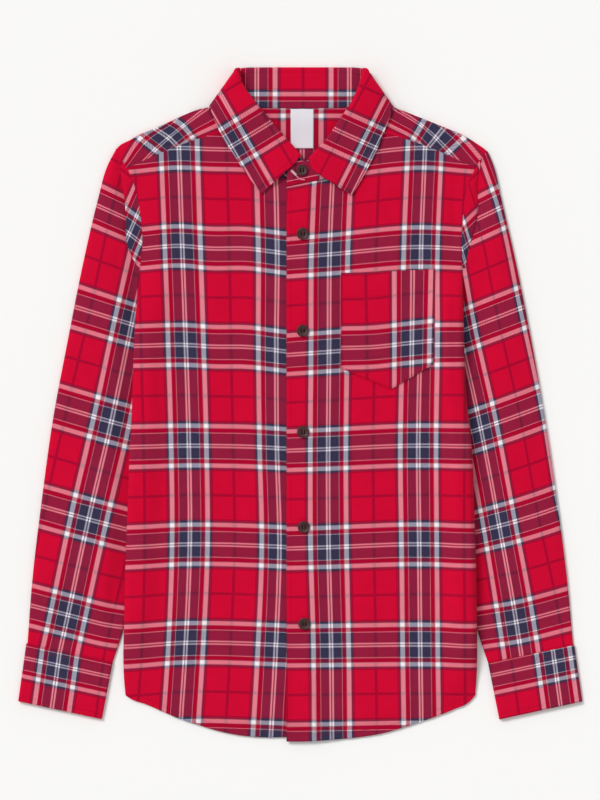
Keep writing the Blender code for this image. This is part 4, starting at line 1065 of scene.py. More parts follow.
class ShirtSizes(bpy.types.PropertyGroup):
    """Sizes that set how finely the shirt is made."""
    body_rows: bpy.props.IntProperty(
        name="Body rows", description="Cells down each front", default=170, min=20, max=400)
    neck_cells: bpy.props.IntProperty(
        name="Neckline cells", description="Cells along half the neckline", default=26, min=6, max=80)
    seam_cells: bpy.props.IntProperty(
        name="Seam cells", description="Cells along a front yoke seam", default=38, min=6, max=120)
    sleeve_rows: bpy.props.IntProperty(
        name="Sleeve rows", description="Cells across a sleeve", default=32, min=6, max=100)
    sleeve_columns: bpy.props.IntProperty(
        name="Sleeve columns", description="Cells down a sleeve", default=150, min=20, max=400)
    camera_height: bpy.props.FloatProperty(
        name="Camera height", description="Height of the camera over the table",
        default=3.2, unit="LENGTH")
    view_height: bpy.props.FloatProperty(
        name="View height", description="Length of table that the view takes in",
        default=0.736, unit="LENGTH")


def colour_property(name, description, value):
    """A colour setting."""
    return bpy.props.FloatVectorProperty(
        name=name, description=description, subtype="COLOR", size=3, min=0.0, max=1.0, default=value)


class ShirtColours(bpy.types.PropertyGroup):
    """Colours of the yarns, of each pair of yarns where they cross, and of the trims."""
    red: colour_property("Red", "Red yarn", (0.600, 0.0012, 0.030))
    navy: colour_property("Navy", "Navy yarn", (0.0350, 0.0310, 0.0700))
    white: colour_property("White", "White yarn", (0.850, 0.770, 0.800))
    red_navy: colour_property("Red on navy", "Red crossed with navy", (0.232, 0.0080, 0.0400))
    red_white: colour_property("Red on white", "Red crossed with white", (0.715, 0.060, 0.135))
    navy_white: colour_property("Navy on white", "Navy crossed with white", (0.215, 0.215, 0.330))
    wine: colour_property("Wine", "Shade of the deeper yarn on the others", (0.64, 0.95, 0.90))
    # The sewing thread's red is deeper than the cloth's. This is partly the thread's own colour and partly
    # painted shade, so the stitches read as small dents.
    thread: colour_property("Thread", "Sewing thread", (0.40, 0.0012, 0.022))
    button_thread: colour_property("Button thread", "Thread in the buttons", (0.010, 0.004, 0.005))
    buttonhole: colour_property("Buttonhole", "Thread round the collar's buttonhole", (0.80, 0.52, 0.56))
    button: colour_property("Button", "Button", (0.056, 0.0185, 0.0185))
    label: colour_property("Label", "Neck label", (0.76, 0.73, 0.78))
    table: colour_property("Table", "Table under the shirt", (0.93, 0.925, 0.91))


def sizes_of(context):
    """The scene's sizes."""
    return context.scene.shirt_sizes


def colours_of(context):
    """The scene's colours."""
    return context.scene.shirt_colours


# ---------------------------------------------------------------- materials

def add_node(tree, kind, inputs=None, **settings):
    """Add a node, set its settings and its inputs, and link those given as sockets."""
    made = tree.nodes.new(kind)
    for name, value in settings.items():
        setattr(made, name, value)
    for name, value in (inputs or {}).items():
        if isinstance(value, bpy.types.NodeSocket):
            tree.links.new(value, made.inputs[name])
        else:
            made.inputs[name].default_value = value
    return made


def maths(tree, operation, first, second):
    """A Math node's result."""
    return add_node(tree, "ShaderNodeMath", {0: first, 1: second}, operation=operation).outputs[0]


def vector_maths(tree, operation, first, second, third=None):
    """A Vector Math node's result."""
    inputs = {0: first, 1: second}
    if third is not None:
        inputs[2] = third
    return add_node(tree, "ShaderNodeVectorMath", inputs, operation=operation).outputs[0]


def scaled(tree, colour, share):
    """A colour made deeper or paler."""
    return add_node(tree, "ShaderNodeVectorMath", {0: colour, "Scale": share},
                    operation="SCALE").outputs[0]


# Sockets that a Mix node uses for colours.
MIX_SHARE = 0
MIX_FIRST = 6
MIX_SECOND = 7
MIX_COLOUR = 2


def mix(tree, share, first, second):
    """Colour between two colours."""
    inputs = {MIX_SHARE: share, MIX_FIRST: first, MIX_SECOND: second}
    return add_node(tree, "ShaderNodeMix", inputs, data_type="RGBA").outputs[MIX_COLOUR]


# How far a shade runs, from dark to light, as a noise runs from low to high.
Tone = namedtuple("Tone", "low high dark light")
NAP_TONE = Tone(0.3, 0.7, 0.9, 1.1)
THREAD_TONE = Tone(0.3, 0.7, 0.75, 1.15)
BUTTON_TONE = Tone(0.3, 0.72, 0.65, 1.45)
BUTTON_ROUGHNESS = Tone(0.2, 0.8, 0.3, 0.5)
LABEL_TONE = Tone(0.0, 1.0, 0.95, 1.03)
TABLE_TONE = Tone(0.0, 1.0, 0.995, 1.005)


def toned(tree, noise, tone):
    """Shade at a noise's value."""
    inputs = {"Value": noise, "From Min": tone.low, "From Max": tone.high,
              "To Min": tone.dark, "To Max": tone.light}
    return add_node(tree, "ShaderNodeMapRange", inputs).outputs[0]


def crossed(tree, masks, plain, with_navy, with_white):
    """Colour of a yarn, and its colours on the navy and the white yarns that masks show."""
    return mix(tree, masks[1], mix(tree, masks[0], plain, with_navy), with_white)


def band_ramp(tree, bands, place):
    """Masks of the navy, white and wine yarns at a place, from a block's middle to halfway on."""
    ramp = add_node(tree, "ShaderNodeValToRGB", {0: place})
    ramp.color_ramp.interpolation = "CONSTANT"
    whole = sum(band.width for band in bands)
    colours = {"red": (0, 0, 0, 1), "navy": (1, 0, 0, 1), "white": (0, 1, 0, 1), "wine": (0, 0, 1, 1)}
    reached = 0.0
    for index, band in enumerate(bands):
        if index < 2:
            stop = ramp.color_ramp.elements[index]
            stop.position = reached / whole
        else:
            stop = ramp.color_ramp.elements.new(reached / whole)
        stop.color = colours[band.yarn]
        reached += band.width
    return add_node(tree, "ShaderNodeSeparateColor", {0: ramp.outputs[0]}).outputs


CHECK_INPUTS = (
    ("Check", "NodeSocketVector"), ("Red", "NodeSocketColor"), ("Navy", "NodeSocketColor"),
    ("White", "NodeSocketColor"), ("Red on navy", "NodeSocketColor"),
    ("Red on white", "NodeSocketColor"), ("Navy on white", "NodeSocketColor"),
    ("Wine", "NodeSocketColor"),
    ("Yarn show", "NodeSocketFloat"), ("Nap", "NodeSocketFloat"),
)
YARN_PAIRS = (
    ("Red", "Red on navy", "Red on white"),
    ("Red on navy", "Navy", "Navy on white"),
    ("Red on white", "Navy on white", "White"),
)
TWILL_PITCH = 1.9
TWILL_HEIGHT = 0.35
WEFT_FROM = 0.36
WEFT_WHOLE = 0.76
YARN_WOBBLE = 0.006
YARN_SHOW = 0.4
FINE_NAP = 0.65
COLLAR_NAP = 0.7


def twill_wave(tree, place):
    """Wave across the twill's ribs, between 0 and 1."""
    parts = add_node(tree, "ShaderNodeSeparateXYZ", {0: place}).outputs
    wave = maths(tree, "PINGPONG", maths(tree, "ADD", parts[0], parts[1]), TWILL_PITCH / 2)
    return maths(tree, "DIVIDE", wave, TWILL_PITCH / 2)


def woven_colour(tree, given, place, twill):
    """Colour of the crossed yarns at a place, with single yarns that show on the twill."""
    wobble = add_node(tree, "ShaderNodeTexNoise", {"Vector": place, "Scale": 1.6, "Detail": 2.0})
    centred = vector_maths(tree, "SUBTRACT", wobble.outputs["Color"], (0.5, 0.5, 0.5))
    shifted = vector_maths(tree, "MULTIPLY_ADD", centred, (YARN_WOBBLE,) * 3, given["Check"])
    parts = add_node(tree, "ShaderNodeSeparateXYZ", {0: shifted}).outputs
    across, down = (maths(tree, "MULTIPLY", maths(tree, "PINGPONG", part, 0.5), 2.0)
                    for part in (parts[0], parts[1]))
    warp = band_ramp(tree, ACROSS_BANDS, across)
    weft = band_ramp(tree, DOWN_BANDS, down)
    pair = crossed(tree, warp, *(crossed(tree, weft, *(given[name] for name in names))
                                 for names in YARN_PAIRS))
    own = [crossed(tree, masks, given["Red"], given["Navy"], given["White"]) for masks in (warp, weft)]
    face = add_node(tree, "ShaderNodeMapRange",
                    {"Value": twill, "From Min": WEFT_FROM, "From Max": WEFT_WHOLE},
                    interpolation_type="SMOOTHSTEP")
    plain = mix(tree, given["Yarn show"], pair, mix(tree, face.outputs[0], *own))
    wine = mix(tree, maths(tree, "MAXIMUM", warp[2], weft[2]), (1.0, 1.0, 1.0, 1.0), given["Wine"])
    return vector_maths(tree, "MULTIPLY", plain, wine)


def check_group():
    """Node group: the woven check's colour and the height of its twill and nap."""
    group = bpy.data.node_groups.new("checked_twill", "ShaderNodeTree")
    for name, kind in CHECK_INPUTS:
        group.interface.new_socket(name, in_out="INPUT", socket_type=kind)
    group.interface.new_socket("Color", in_out="OUTPUT", socket_type="NodeSocketColor")
    group.interface.new_socket("Height", in_out="OUTPUT", socket_type="NodeSocketFloat")
    given = add_node(group, "NodeGroupInput").outputs
    place = vector_maths(group, "MULTIPLY", given["Check"], (REPEAT_ACROSS, REPEAT_DOWN, 1.0))
    twill = twill_wave(group, place)
    fine = add_node(group, "ShaderNodeTexNoise", {"Vector": place, "Scale": 0.9, "Detail": 4.0,
                                                  "Roughness": 0.65}).outputs[0]
    broad = add_node(group, "ShaderNodeTexNoise", {"Vector": place, "Scale": 0.07, "Detail": 3.0})
    mottle = maths(group, "ADD", maths(group, "MULTIPLY", fine, FINE_NAP),
                   maths(group, "MULTIPLY", broad.outputs[0], 1.0 - FINE_NAP))
    colour = scaled(group, woven_colour(group, given, place, twill), toned(group, mottle, NAP_TONE))
    height = maths(group, "ADD", maths(group, "MULTIPLY", fine, given["Nap"]),
                   maths(group, "MULTIPLY", twill, TWILL_HEIGHT))
    add_node(group, "NodeGroupOutput", {"Color": colour, "Height": height})
    return group


def new_material(name):
    """An empty material and its tree, with a Principled shader."""
    made = bpy.data.materials.new(name)
    made.use_nodes = True
    return made, made.node_tree, made.node_tree.nodes["Principled BSDF"]


def set_inputs(shader, **values):
    """Set a shader's own sockets by name, with underscores for spaces."""
    for name, value in values.items():
        shader.inputs[name.replace("_", " ").replace("Ior", "IOR")].default_value = value


def flannel(context, name, nap=1.0):
    """Brushed checked flannel."""
    key = f"flannel_{name}"
    if key in bpy.data.materials:
        return bpy.data.materials[key]
    made, tree, shader = new_material(key)
    colours = colours_of(context)
    group = bpy.data.node_groups.get("checked_twill") or check_group()
    place = add_node(tree, "ShaderNodeUVMap", uv_map="check")
    weave = add_node(tree, "ShaderNodeGroup", node_tree=group)
    tree.links.new(place.outputs[0], weave.inputs["Check"])
    for socket, colour in (("Red", colours.red), ("Navy", colours.navy), ("White", colours.white),
                           ("Red on navy", colours.red_navy), ("Red on white", colours.red_white),
                           ("Navy on white", colours.navy_white), ("Wine", colours.wine)):
        weave.inputs[socket].default_value = (*colour, 1.0)
    weave.inputs["Yarn show"].default_value = YARN_SHOW
    weave.inputs["Nap"].default_value = nap
    bump = add_node(tree, "ShaderNodeBump", {"Strength": 0.6, "Distance": 0.0003,
                                             "Height": weave.outputs["Height"]})
    tree.links.new(weave.outputs["Color"], shader.inputs["Base Color"])
    tree.links.new(bump.outputs[0], shader.inputs["Normal"])
    set_inputs(shader, Roughness=0.95, Sheen_Weight=0.03, Sheen_Roughness=0.6,
               Specular_IOR_Level=0.05)
    shader.inputs["Sheen Tint"].default_value = (1.0, 0.82, 0.84, 1.0)
    return made


def uneven_colour(tree, shader, colour, tone, **noise_inputs):
    """Colour a shader, paler and deeper with a noise through the piece; returns the noise."""
    place = add_node(tree, "ShaderNodeTexCoord").outputs["Object"]
    noise = add_node(tree, "ShaderNodeTexNoise", {"Vector": place, **noise_inputs}).outputs[0]
    tree.links.new(scaled(tree, tuple(colour), toned(tree, noise, tone)), shader.inputs["Base Color"])
    return noise


def thread_material(name, thread):
    """Sewing thread of some colour, with a fine twist."""
    made, tree, shader = new_material(name)
    uneven_colour(tree, shader, thread, THREAD_TONE, Scale=900.0)
    set_inputs(shader, Roughness=0.9, Specular_IOR_Level=0.08)
    return made


def button_material(context):
    """Dark horn-like button with soft mottling and a worn gloss."""
    made, tree, shader = new_material("brown_button")
    noise = uneven_colour(tree, shader, colours_of(context).button, BUTTON_TONE,
                          Scale=260.0, Detail=5.0, Distortion=1.2)
    tree.links.new(toned(tree, noise, BUTTON_ROUGHNESS), shader.inputs["Roughness"])
    set_inputs(shader, Specular_IOR_Level=0.3)
    return made


def label_material(context):
    """White woven satin."""
    made, tree, shader = new_material("white_satin")
    uneven_colour(tree, shader, colours_of(context).label, LABEL_TONE, Scale=600.0)
    place = add_node(tree, "ShaderNodeTexCoord").outputs["Object"]
    wave = add_node(tree, "ShaderNodeTexWave", {"Vector": place, "Scale": 420.0, "Distortion": 0.6},
                    bands_direction="Y")
    bump = add_node(tree, "ShaderNodeBump", {"Strength": 0.35, "Distance": 0.0001,
                                             "Height": wave.outputs[1]})
    tree.links.new(bump.outputs[0], shader.inputs["Normal"])
    set_inputs(shader, Roughness=0.5, Sheen_Weight=0.15)
    return made


# ---------------------------------------------------------------- pieces

# Cells of the grids whose fineness isn't a setting.
BACK_ROWS = 90
BACK_COLUMNS = 56
STRIP_CELLS = 10
YOKE_ROWS = 24
WING_CELLS = 44
FLAP_ROWS = 12
CUFF_ROWS = 26
CUFF_COLUMNS = 18
STAND_CELLS = 12
LEAF_CELLS = 18
POCKET_ROWS = 40
POCKET_HALF_CELLS = 18
LABEL_ROWS = 24
LABEL_COLUMNS = 14


def add_back(context):
    """The back panel, on the table in the middle and over the sleeves at the sides."""
    heights = np.linspace(HEM[-1].right + BACK_HEM_RISE, YOKE_BACK_Y, BACK_ROWS + 1)
    first = side_points(heights, -1)
    last = side_points(heights, 1)
    spread = even(BACK_COLUMNS)
    x = first[0][0] + (last[0][0] - first[0][0]) * spread
    hem = np.where(x < 0, hem_y(x, -1), np.minimum(hem_y(x, 1), hem_y(-x, -1))) + BACK_HEM_RISE
    bottom = np.stack((x, hem), axis=-1)
    bottom[0] = first[0]
    bottom[-1] = last[0]
    top = first[-1] + (last[-1] - first[-1]) * spread[:, None]
    points = lift_points(patch(bottom, top, first, last, share_of(heights)), back_level)
    piece = cloth("back_panel", "back", points, [(None, straight_check(BACK_CHECK))], SINGLE,
                  flannel(context, "body"))


def add_front_right(context):
    """The button side, under the other front."""
    plan = front_plan(-1, UNDERLAP_X, sizes_of(context))
    points = lift_points(plan, front_level)
    read = table_check(RIGHT_FRONT_BLOCKS, RIGHT_FRONT_COLUMNS)
    piece = cloth("right_front_panel", "front_right", points, [(None, read)], SINGLE,
                  flannel(context, "body"))


def add_front_left(context):
    """The buttonhole side: a single panel with its front edge folded double."""
    strip_end = PLACKET_EDGE_X + PLACKET_WIDTH
    panel = front_plan(1, strip_end + STRIP_STEP, sizes_of(context))
    share = share_of(panel[:, 0, 1])
    neck = neck_run(1)
    strip = []
    for x in np.linspace(PLACKET_EDGE_X, strip_end, STRIP_CELLS + 1):
        top_y = np.interp(x, neck[:, 0], neck[:, 1]) - NECK_CLOSE - SLACK
        strip.append(straight((x, float(hem_y(x, 1))), (x, top_y), share))
    plan = np.concatenate((np.stack(strip, axis=1), panel), axis=1)
    points = lift_points(plan, over_front_level)
    read = table_check(LEFT_FRONT_BLOCKS, LEFT_FRONT_COLUMNS)
    piece = cloth("left_front_panel", "front_left", points, [(None, read)], SINGLE,
                  flannel(context, "body"), doubled=range(len(strip)))


def yoke_wing(side, share, seam_cells, neck_rows):
    """Points of one side of the yoke: back layer, shoulder fold, then the front flap."""
    front_edge = yoke_seam(side, seam_cells)[::-1]
    shoulder = SHOULDER_RIGHT if side < 0 else SHOULDER_LEFT
    fold = [Point(NECK_CENTRE + side * row.x, row.y) for row in shoulder]
    rim = along(fold, even(seam_cells))
    low_first = side_points(YOKE_BACK_Y + (rim[0][1] - YOKE_BACK_Y) * share, side)
    rim[0] = low_first[-1]
    low_bottom = straight(low_first[0], (rim[-1][0], YOKE_BACK_Y), even(seam_cells))
    low = patch(low_bottom, rim, low_first, straight(low_bottom[-1], rim[-1], share), share)
    run = neck_run(side)
    neck_side = away(run[run[:, 1] > front_edge[-1][1] + END_CLEAR], NECK_CLOSE, side)[::-1]
    neck_side[0] = rim[-1]
    front_edge[-1] = front_edge[-1] + np.array([side * NECK_CLOSE, 0.0])
    high_last = along(np.concatenate((neck_side, front_edge[-1:])), even(neck_rows))
    high_y = rim[0][1] + (front_edge[0][1] - rim[0][1]) * even(neck_rows)
    high_first = side_points(high_y, side)
    front_edge[0] = high_first[-1]
    high = patch(rim, front_edge, high_first, high_last)
    turn = turned_edge(rim, low[-2], high[1], back_level(rim[:, 0], rim[:, 1]),
                       front_level(rim[:, 0], rim[:, 1]), SINGLE)
    return np.concatenate((lift_points(low[:-1], back_level), turn, lift_points(high[1:], front_level)))


def add_yoke(context):
    """The yoke: back layer, folded over each shoulder to the two front seams."""
    share = even(YOKE_ROWS)
    right = yoke_wing(-1, share, WING_CELLS, FLAP_ROWS)
    left = yoke_wing(1, share, WING_CELLS, FLAP_ROWS)
    back_rows = len(share)
    back_neck = [neck for neck, _seam, turn in stand_run(-1) if turn == 0.0][::-1]
    back_neck += [neck for neck, _seam, turn in stand_run(1) if turn == 0.0][1:]
    neck_edge = np.array(back_neck) - np.array([0.0, NECK_CLOSE])
    neck_edge[0] = right[back_rows - 1, -1, :2]
    neck_edge[-1] = left[back_rows - 1, -1, :2]
    gap_cells = len(neck_edge) - 1
    bottom = straight(right[0, -1, :2], left[0, -1, :2], even(gap_cells))
    centre = patch(bottom, neck_edge, right[:back_rows, -1, :2], left[:back_rows, -1, :2], share)
    middle = np.zeros((len(right), gap_cells - 1, 3))
    middle[:back_rows] = lift_points(centre, back_level)[:, 1:-1]
    points = np.concatenate((right, middle, left[:, ::-1]), axis=1)
    rows, columns = points.shape[0] - 1, points.shape[1] - 1
    keep = np.ones((rows, columns), bool)
    keep[back_rows - 1:, WING_CELLS:WING_CELLS + gap_cells] = False
    flap = np.zeros((rows, columns), bool)
    flap[back_rows - 1 + FOLD_STEPS // 2:] = True
    right_half = np.zeros((rows, columns), bool)
    right_half[:, :WING_CELLS] = True
    zones = [(None, straight_check(BACK_CHECK)),
             (flap & right_half, table_check(RIGHT_FLAP_BLOCKS, RIGHT_FLAP_COLUMNS)),
             (flap & ~right_half, table_check(LEFT_FLAP_BLOCKS, LEFT_FLAP_COLUMNS))]
    piece = cloth("yoke_panel", "yoke", points, zones, SINGLE, flannel(context, "body"), keep=keep)
    (wide, _down), _area = cut_of(points[:back_rows])
    cuts = [cut_of(half) for half in (right, left)]
    area = sum(cut[1] for cut in cuts) + cut_of(lift_points(centre, back_level))[1]


SLEEVE_HEAD_SHARE = 0.075
SLEEVE_HEAD_CELLS = 20


def sleeve_plan(sleeve, sizes):
    """Plan of a sleeve: rows from the inner to the outer silhouette, columns to the cuff."""
    cuff = sleeve.cuff
    across_cuff = unit(np.subtract(cuff.outer_seam, cuff.inner_seam))
    up_sleeve = sleeve.side * np.array([-across_cuff[1], across_cuff[0]]) * SLACK
    inner = [*sleeve.inner, np.add(cuff.inner_seam, up_sleeve)]
    outer = [*sleeve.outer, np.add(cuff.outer_seam, up_sleeve) - across_cuff * CUFF_OVERHANG]
    rest = even(sizes.sleeve_columns - SLEEVE_HEAD_CELLS)[1:]
    stations = np.concatenate((SLEEVE_HEAD_SHARE * even(SLEEVE_HEAD_CELLS),
                               SLEEVE_HEAD_SHARE + (1 - SLEEVE_HEAD_SHARE) * rest))
    across = even(sizes.sleeve_rows)
    inner_line = along(inner, stations)
    outer_line = along(outer, stations)
    armhole_y = UNDERARM_Y + (outer_line[0][1] - UNDERARM_Y) * across
    armhole = side_points(armhole_y, sleeve.side)
    inner_line[0] = armhole[0]
    outer_line[0] = armhole[-1]
    cuff_end = straight(inner_line[-1], outer_line[-1], across)
    return patch(inner_line, outer_line, armhole, cuff_end, across, stations)


def add_tuck(context, name, side, check):
    """The fold of cloth over a sleeve head's tuck, from the armhole out to the valley."""
    heights = np.linspace(TUCKS[0].y, TUCKS[-1].y, TUCK_ROWS + 1)
    start = side_points(heights, side)
    end = start + np.stack((side * tuck_out(heights, side), np.zeros(len(heights))), axis=-1)
    share = even(TUCK_CELLS)[None, :, None]
    points = lift_points(start[:, None] * (1 - share) + end[:, None] * share, tuck_level)
    if side < 0:
        points = points[:, ::-1]
    return cloth(name, None, points, [(None, straight_check(check))], SINGLE,
                 flannel(context, "sleeve"))


def add_sleeve(context, name, node, sleeve):
    """A sleeve from the armhole to the cuff seam, pressed flat, with a tuck at its head."""
    points = flat_tube(sleeve_plan(sleeve, sizes_of(context)), sleeve_floor, sleeve_level, SINGLE)
    read = table_check(sleeve.blocks, sleeve.columns)
    piece = cloth(name, node, points, [(None, read)], SINGLE, flannel(context, "sleeve"), closed=True)
    fold = add_tuck(context, name + "_tuck", sleeve.side, sleeve.tuck_check)


def add_cuff(context, name, node, cuff, check):
    """A cuff: a doubled band pressed flat."""
    inner = straight(cuff.inner_seam, cuff.inner_edge, even(CUFF_COLUMNS))
    outer = straight(cuff.outer_seam, cuff.outer_edge, even(CUFF_COLUMNS))
    points = flat_tube(filled(inner, outer, CUFF_ROWS), cuff_floor, cuff_level, DOUBLE)
    piece = cloth(name, node, points, [(None, straight_check(check))], DOUBLE,
                  flannel(context, "collar", nap=COLLAR_NAP), closed=True)


def collar_zones(sides, cells, back, right, left):
    """Zones of a collar piece: its back, then the part of each side that is turned to the front.

    sides gives each column's side and turn.
    """
    turned = np.array([turn > 0.5 for _side, turn in sides])[:-1]
    on_right = np.array([side < 0 for side, _turn in sides])[:-1]
    right_front, left_front = (np.repeat(mask[:, None], cells, axis=1)
                               for mask in (turned & on_right, turned & ~on_right))
    return [(None, straight_check(back)), (right_front, straight_check(right)),
            (left_front, straight_check(left))]


def add_collar_stand(context):
    """The band round the neck: on the table at the back, its ends lapped at the front."""
    run = [(-1, *station) for station in stand_run(-1)[:0:-1]]
    run += [(1, *station) for station in stand_run(1)]
    columns = []
    for side, neck, seam, turn in run:
        places = [blend(neck, seam, share) for share in even(STAND_CELLS)]
        columns.append([(*place, float(stand_height(place, turn, side))) for place in places])
    points = np.array(columns)
    zones = collar_zones([(side, turn) for side, _neck, _seam, turn in run], STAND_CELLS,
                         STAND_CHECK, RIGHT_STAND_CHECK, LEFT_STAND_CHECK)
    piece = cloth("collar_band", "collar_stand", points, zones, DOUBLE,
                  flannel(context, "collar", nap=COLLAR_NAP))


def leaf_column(point, side):
    """Section of the leaf at one station, from the stand's seam over the roll to its free edge."""
    seam, roll, free = (np.asarray(place, float) for place in (point.seam, point.roll, point.free))
    seam_way = unit(seam - roll)
    free_way = unit(free - roll)
    seam_level = float(stand_height(seam, point.turn, side))
    seam_end = roll + seam_way * point.roll_radius
    free_end = roll + free_way * point.roll_radius
    rise = LEAF_RISE * point.turn * float(grown(roll[1], LEAF_RISE_UP))
    free_level = float(leaf_height(free_end, point.turn)) + rise
    at_side = float(ease((abs(seam[0] - NECK_CENTRE) - LEAF_SIDE_OUT) / LEAF_SIDE_RUN))
    start = seam + unit(seam - np.asarray(point.neck, float)) * (LEAF_GAP + LEAF_SIDE_GAP * at_side)
    if point.turn == 1.0:
        start = start + np.array([-side * LEAF_SIDE_GAP * at_side, 0.0])
    section = [(*start, seam_level)]
    centre = (seam_end + free_end) / 2
    half = (free_end - seam_end) / 2
    middle_level = (seam_level + free_level) / 2
    for step in range(FOLD_STEPS + 1):
        angle = math.pi * (step / FOLD_STEPS - 0.5)
        plan = centre + (roll - centre) * math.cos(angle) + half * math.sin(angle)
        height = middle_level + (free_level - seam_level) / 2 * math.sin(angle)
        section.append((*plan, height))
    swell = side_curve(LEAF_ENDS, "share", side, even(LEAF_CELLS)) * point.end
    swell_way = side * np.array([free_way[1], -free_way[0]])
    section[1:] = [(*(np.array(place[:2]) + swell_way * swell[0]), place[2]) for place in section[1:]]
    for share, out in zip(even(LEAF_CELLS)[1:], swell[1:]):
        plan = free_end + (free - free_end) * share + swell_way * out
        settle = LEAF_SETTLE * point.turn * float(ease(2 * share - 1)) - rise * float(1.0 - ease(share))
        section.append((*plan, float(leaf_height(plan, point.turn)) - settle))
    return section


def add_collar_leaf(context):
    """The leaf: under the back, creased round each side of the neck and over the fronts."""
    run = [(-1, point) for point in half_collar(-1)[:0:-1]]
    run += [(1, point) for point in half_collar(1)]
    points = np.array([leaf_column(point, side) for side, point in run])
    zones = collar_zones([(side, point.turn) for side, point in run], points.shape[1] - 1,
                         BACK_LEAF_CHECK, RIGHT_LEAF_CHECK, LEFT_LEAF_CHECK)
    piece = cloth("collar_flap", "collar_leaf", points, zones, DOUBLE,
                  flannel(context, "collar", nap=COLLAR_NAP))


def add_pocket(context):
    """The patch pocket, on the left front's own surface."""
    top = straight(*POCKET_TOP, even(2 * POCKET_HALF_CELLS))
    base = np.concatenate((straight(*POCKET_BASE[:2], even(POCKET_HALF_CELLS))[:-1],
                           straight(*POCKET_BASE[1:], even(POCKET_HALF_CELLS))))
    points = lift_points(filled(base, top, POCKET_ROWS), pocket_level)
    read = table_check(POCKET_BLOCKS, POCKET_COLUMNS)
    piece = cloth("chest_pocket", "pocket", points, [(None, read)], SINGLE, flannel(context, "body"))


def add_label(context):
    """The bare woven label on the inside of the yoke."""
    top = straight(*LABEL_TOP, even(LABEL_COLUMNS))
    base = straight(*LABEL_BASE, even(LABEL_COLUMNS))
    points = lift_points(filled(base, top, LABEL_ROWS), label_level)
    piece = cloth("bare_label", "neck_label", points, [(None, straight_check(BACK_CHECK))], SINGLE,
                  label_material(context))


Turning = namedtuple("Turning", "radius height")
BUTTON_PROFILE = (
    Turning(0.0, 0.0), Turning(5.1, 0.0), Turning(5.9, 0.25), Turning(6.3, 0.8), Turning(6.35, 1.5),
    Turning(6.1, 2.05), Turning(5.6, 2.35), Turning(5.1, 2.35), Turning(4.7, 2.1), Turning(4.4, 1.8),
    Turning(3.6, 1.62), Turning(0.0, 1.55),
)
BUTTON_SIDES = 48
BUTTON_HOLES = 4
BUTTON_HOLE_RADIUS = 0.9
BUTTON_HOLE_OUT = 2.15
BUTTON_WELD = 0.02
BUTTON_SHARP_ANGLE = 42.0
DRILL_LENGTH = 2.4
DRILL_FLOOR = 0.45
DRILL_SIDES = 20


def button_blank():
    """Turned body of a button, with a raised rim and a dished middle."""
    shape = bmesh.new()
    chain = [shape.verts.new((row.radius * MM, 0.0, row.height * MM)) for row in BUTTON_PROFILE]
    edges = [shape.edges.new(pair) for pair in zip(chain, chain[1:])]
    bmesh.ops.spin(shape, geom=chain + edges, cent=(0, 0, 0), axis=(0, 0, 1), angle=math.tau,
                   steps=BUTTON_SIDES, use_merge=True)
    bmesh.ops.remove_doubles(shape, verts=shape.verts, dist=BUTTON_WELD * MM)
    bmesh.ops.recalc_face_normals(shape, faces=shape.faces)
    return add_object("button_blank", mesh_of("button_blank", shape))


def button_drill():
    """Rods that cut a button's holes."""
    shape = bmesh.new()
    for hole in range(BUTTON_HOLES):
        angle = math.tau * (hole + 0.5) / BUTTON_HOLES
        place = Vector((math.cos(angle) * BUTTON_HOLE_OUT, math.sin(angle) * BUTTON_HOLE_OUT,
                        DRILL_FLOOR + DRILL_LENGTH / 2)) * MM
        bmesh.ops.create_cone(shape, cap_ends=True, segments=DRILL_SIDES,
                              radius1=BUTTON_HOLE_RADIUS * MM, radius2=BUTTON_HOLE_RADIUS * MM,
                              depth=DRILL_LENGTH * MM, matrix=Matrix.Translation(place))
    return add_object("button_drill", mesh_of("button_drill", shape))


def button_mesh(material):
    """A turned button with four deep holes."""
    blank = button_blank()
    drill = button_drill()
    holes = blank.modifiers.new("holes", "BOOLEAN")
    holes.operation = "DIFFERENCE"
    holes.object = drill
    bpy.context.view_layer.update()
    depsgraph = bpy.context.evaluated_depsgraph_get()
    finished = bpy.data.meshes.new_from_object(blank.evaluated_get(depsgraph))
    for item in (blank, drill):
        bpy.data.objects.remove(item)
    finished.shade_smooth()
    finished.set_sharp_from_angle(angle=math.radians(BUTTON_SHARP_ANGLE))
    finished.materials.clear()
    finished.materials.append(material)
    return finished


def button_surface(number, place):
    """Height of the cloth's top under a button."""
    level = over_front_level if number else lapped_stand_level
    return float(level(place.x, place.y)) + DOUBLE / 2


def add_buttons(context):
    """The collar button on the stand and the rest down the placket."""
    master = button_mesh(button_material(context))
    for number, place in enumerate(BUTTONS):
        height = button_surface(number, place) + GAP
        node = f"button_{number}" if number else "button_collar"
        mesh = master.copy()
        size = Matrix.Diagonal((place.size, place.size, 1.0, 1.0))
        mesh.transform(Matrix.Translation(Vector((place.x, place.y, height)) * MM) @ size)
        button = add_object(f"sewn_{node}", mesh)
        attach(button, "root")
        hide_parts(node)


# ---------------------------------------------------------------- sewing

STITCH_LENGTH = 2.1
STITCH_PITCH = 2.7
STITCH_WIDTH = 0.4
STITCH_LIFT = 0.05


def run_of(points, pitch):
    """Points and ways at even steps of a line of x, y and z points."""
    points = np.asarray(points, float)
    lengths = run_lengths(points)
    count = max(1, int(lengths[-1] / pitch))
    at = (np.arange(count) + 0.5) * lengths[-1] / count
    ahead = np.minimum(at + pitch / 4, lengths[-1])
    behind = np.maximum(at - pitch / 4, 0.0)
    places, fronts, backs = (np.stack([np.interp(where, lengths, points[:, axis]) for axis in range(3)],
                                      axis=-1) for where in (at, ahead, behind))
    return places, fronts - backs


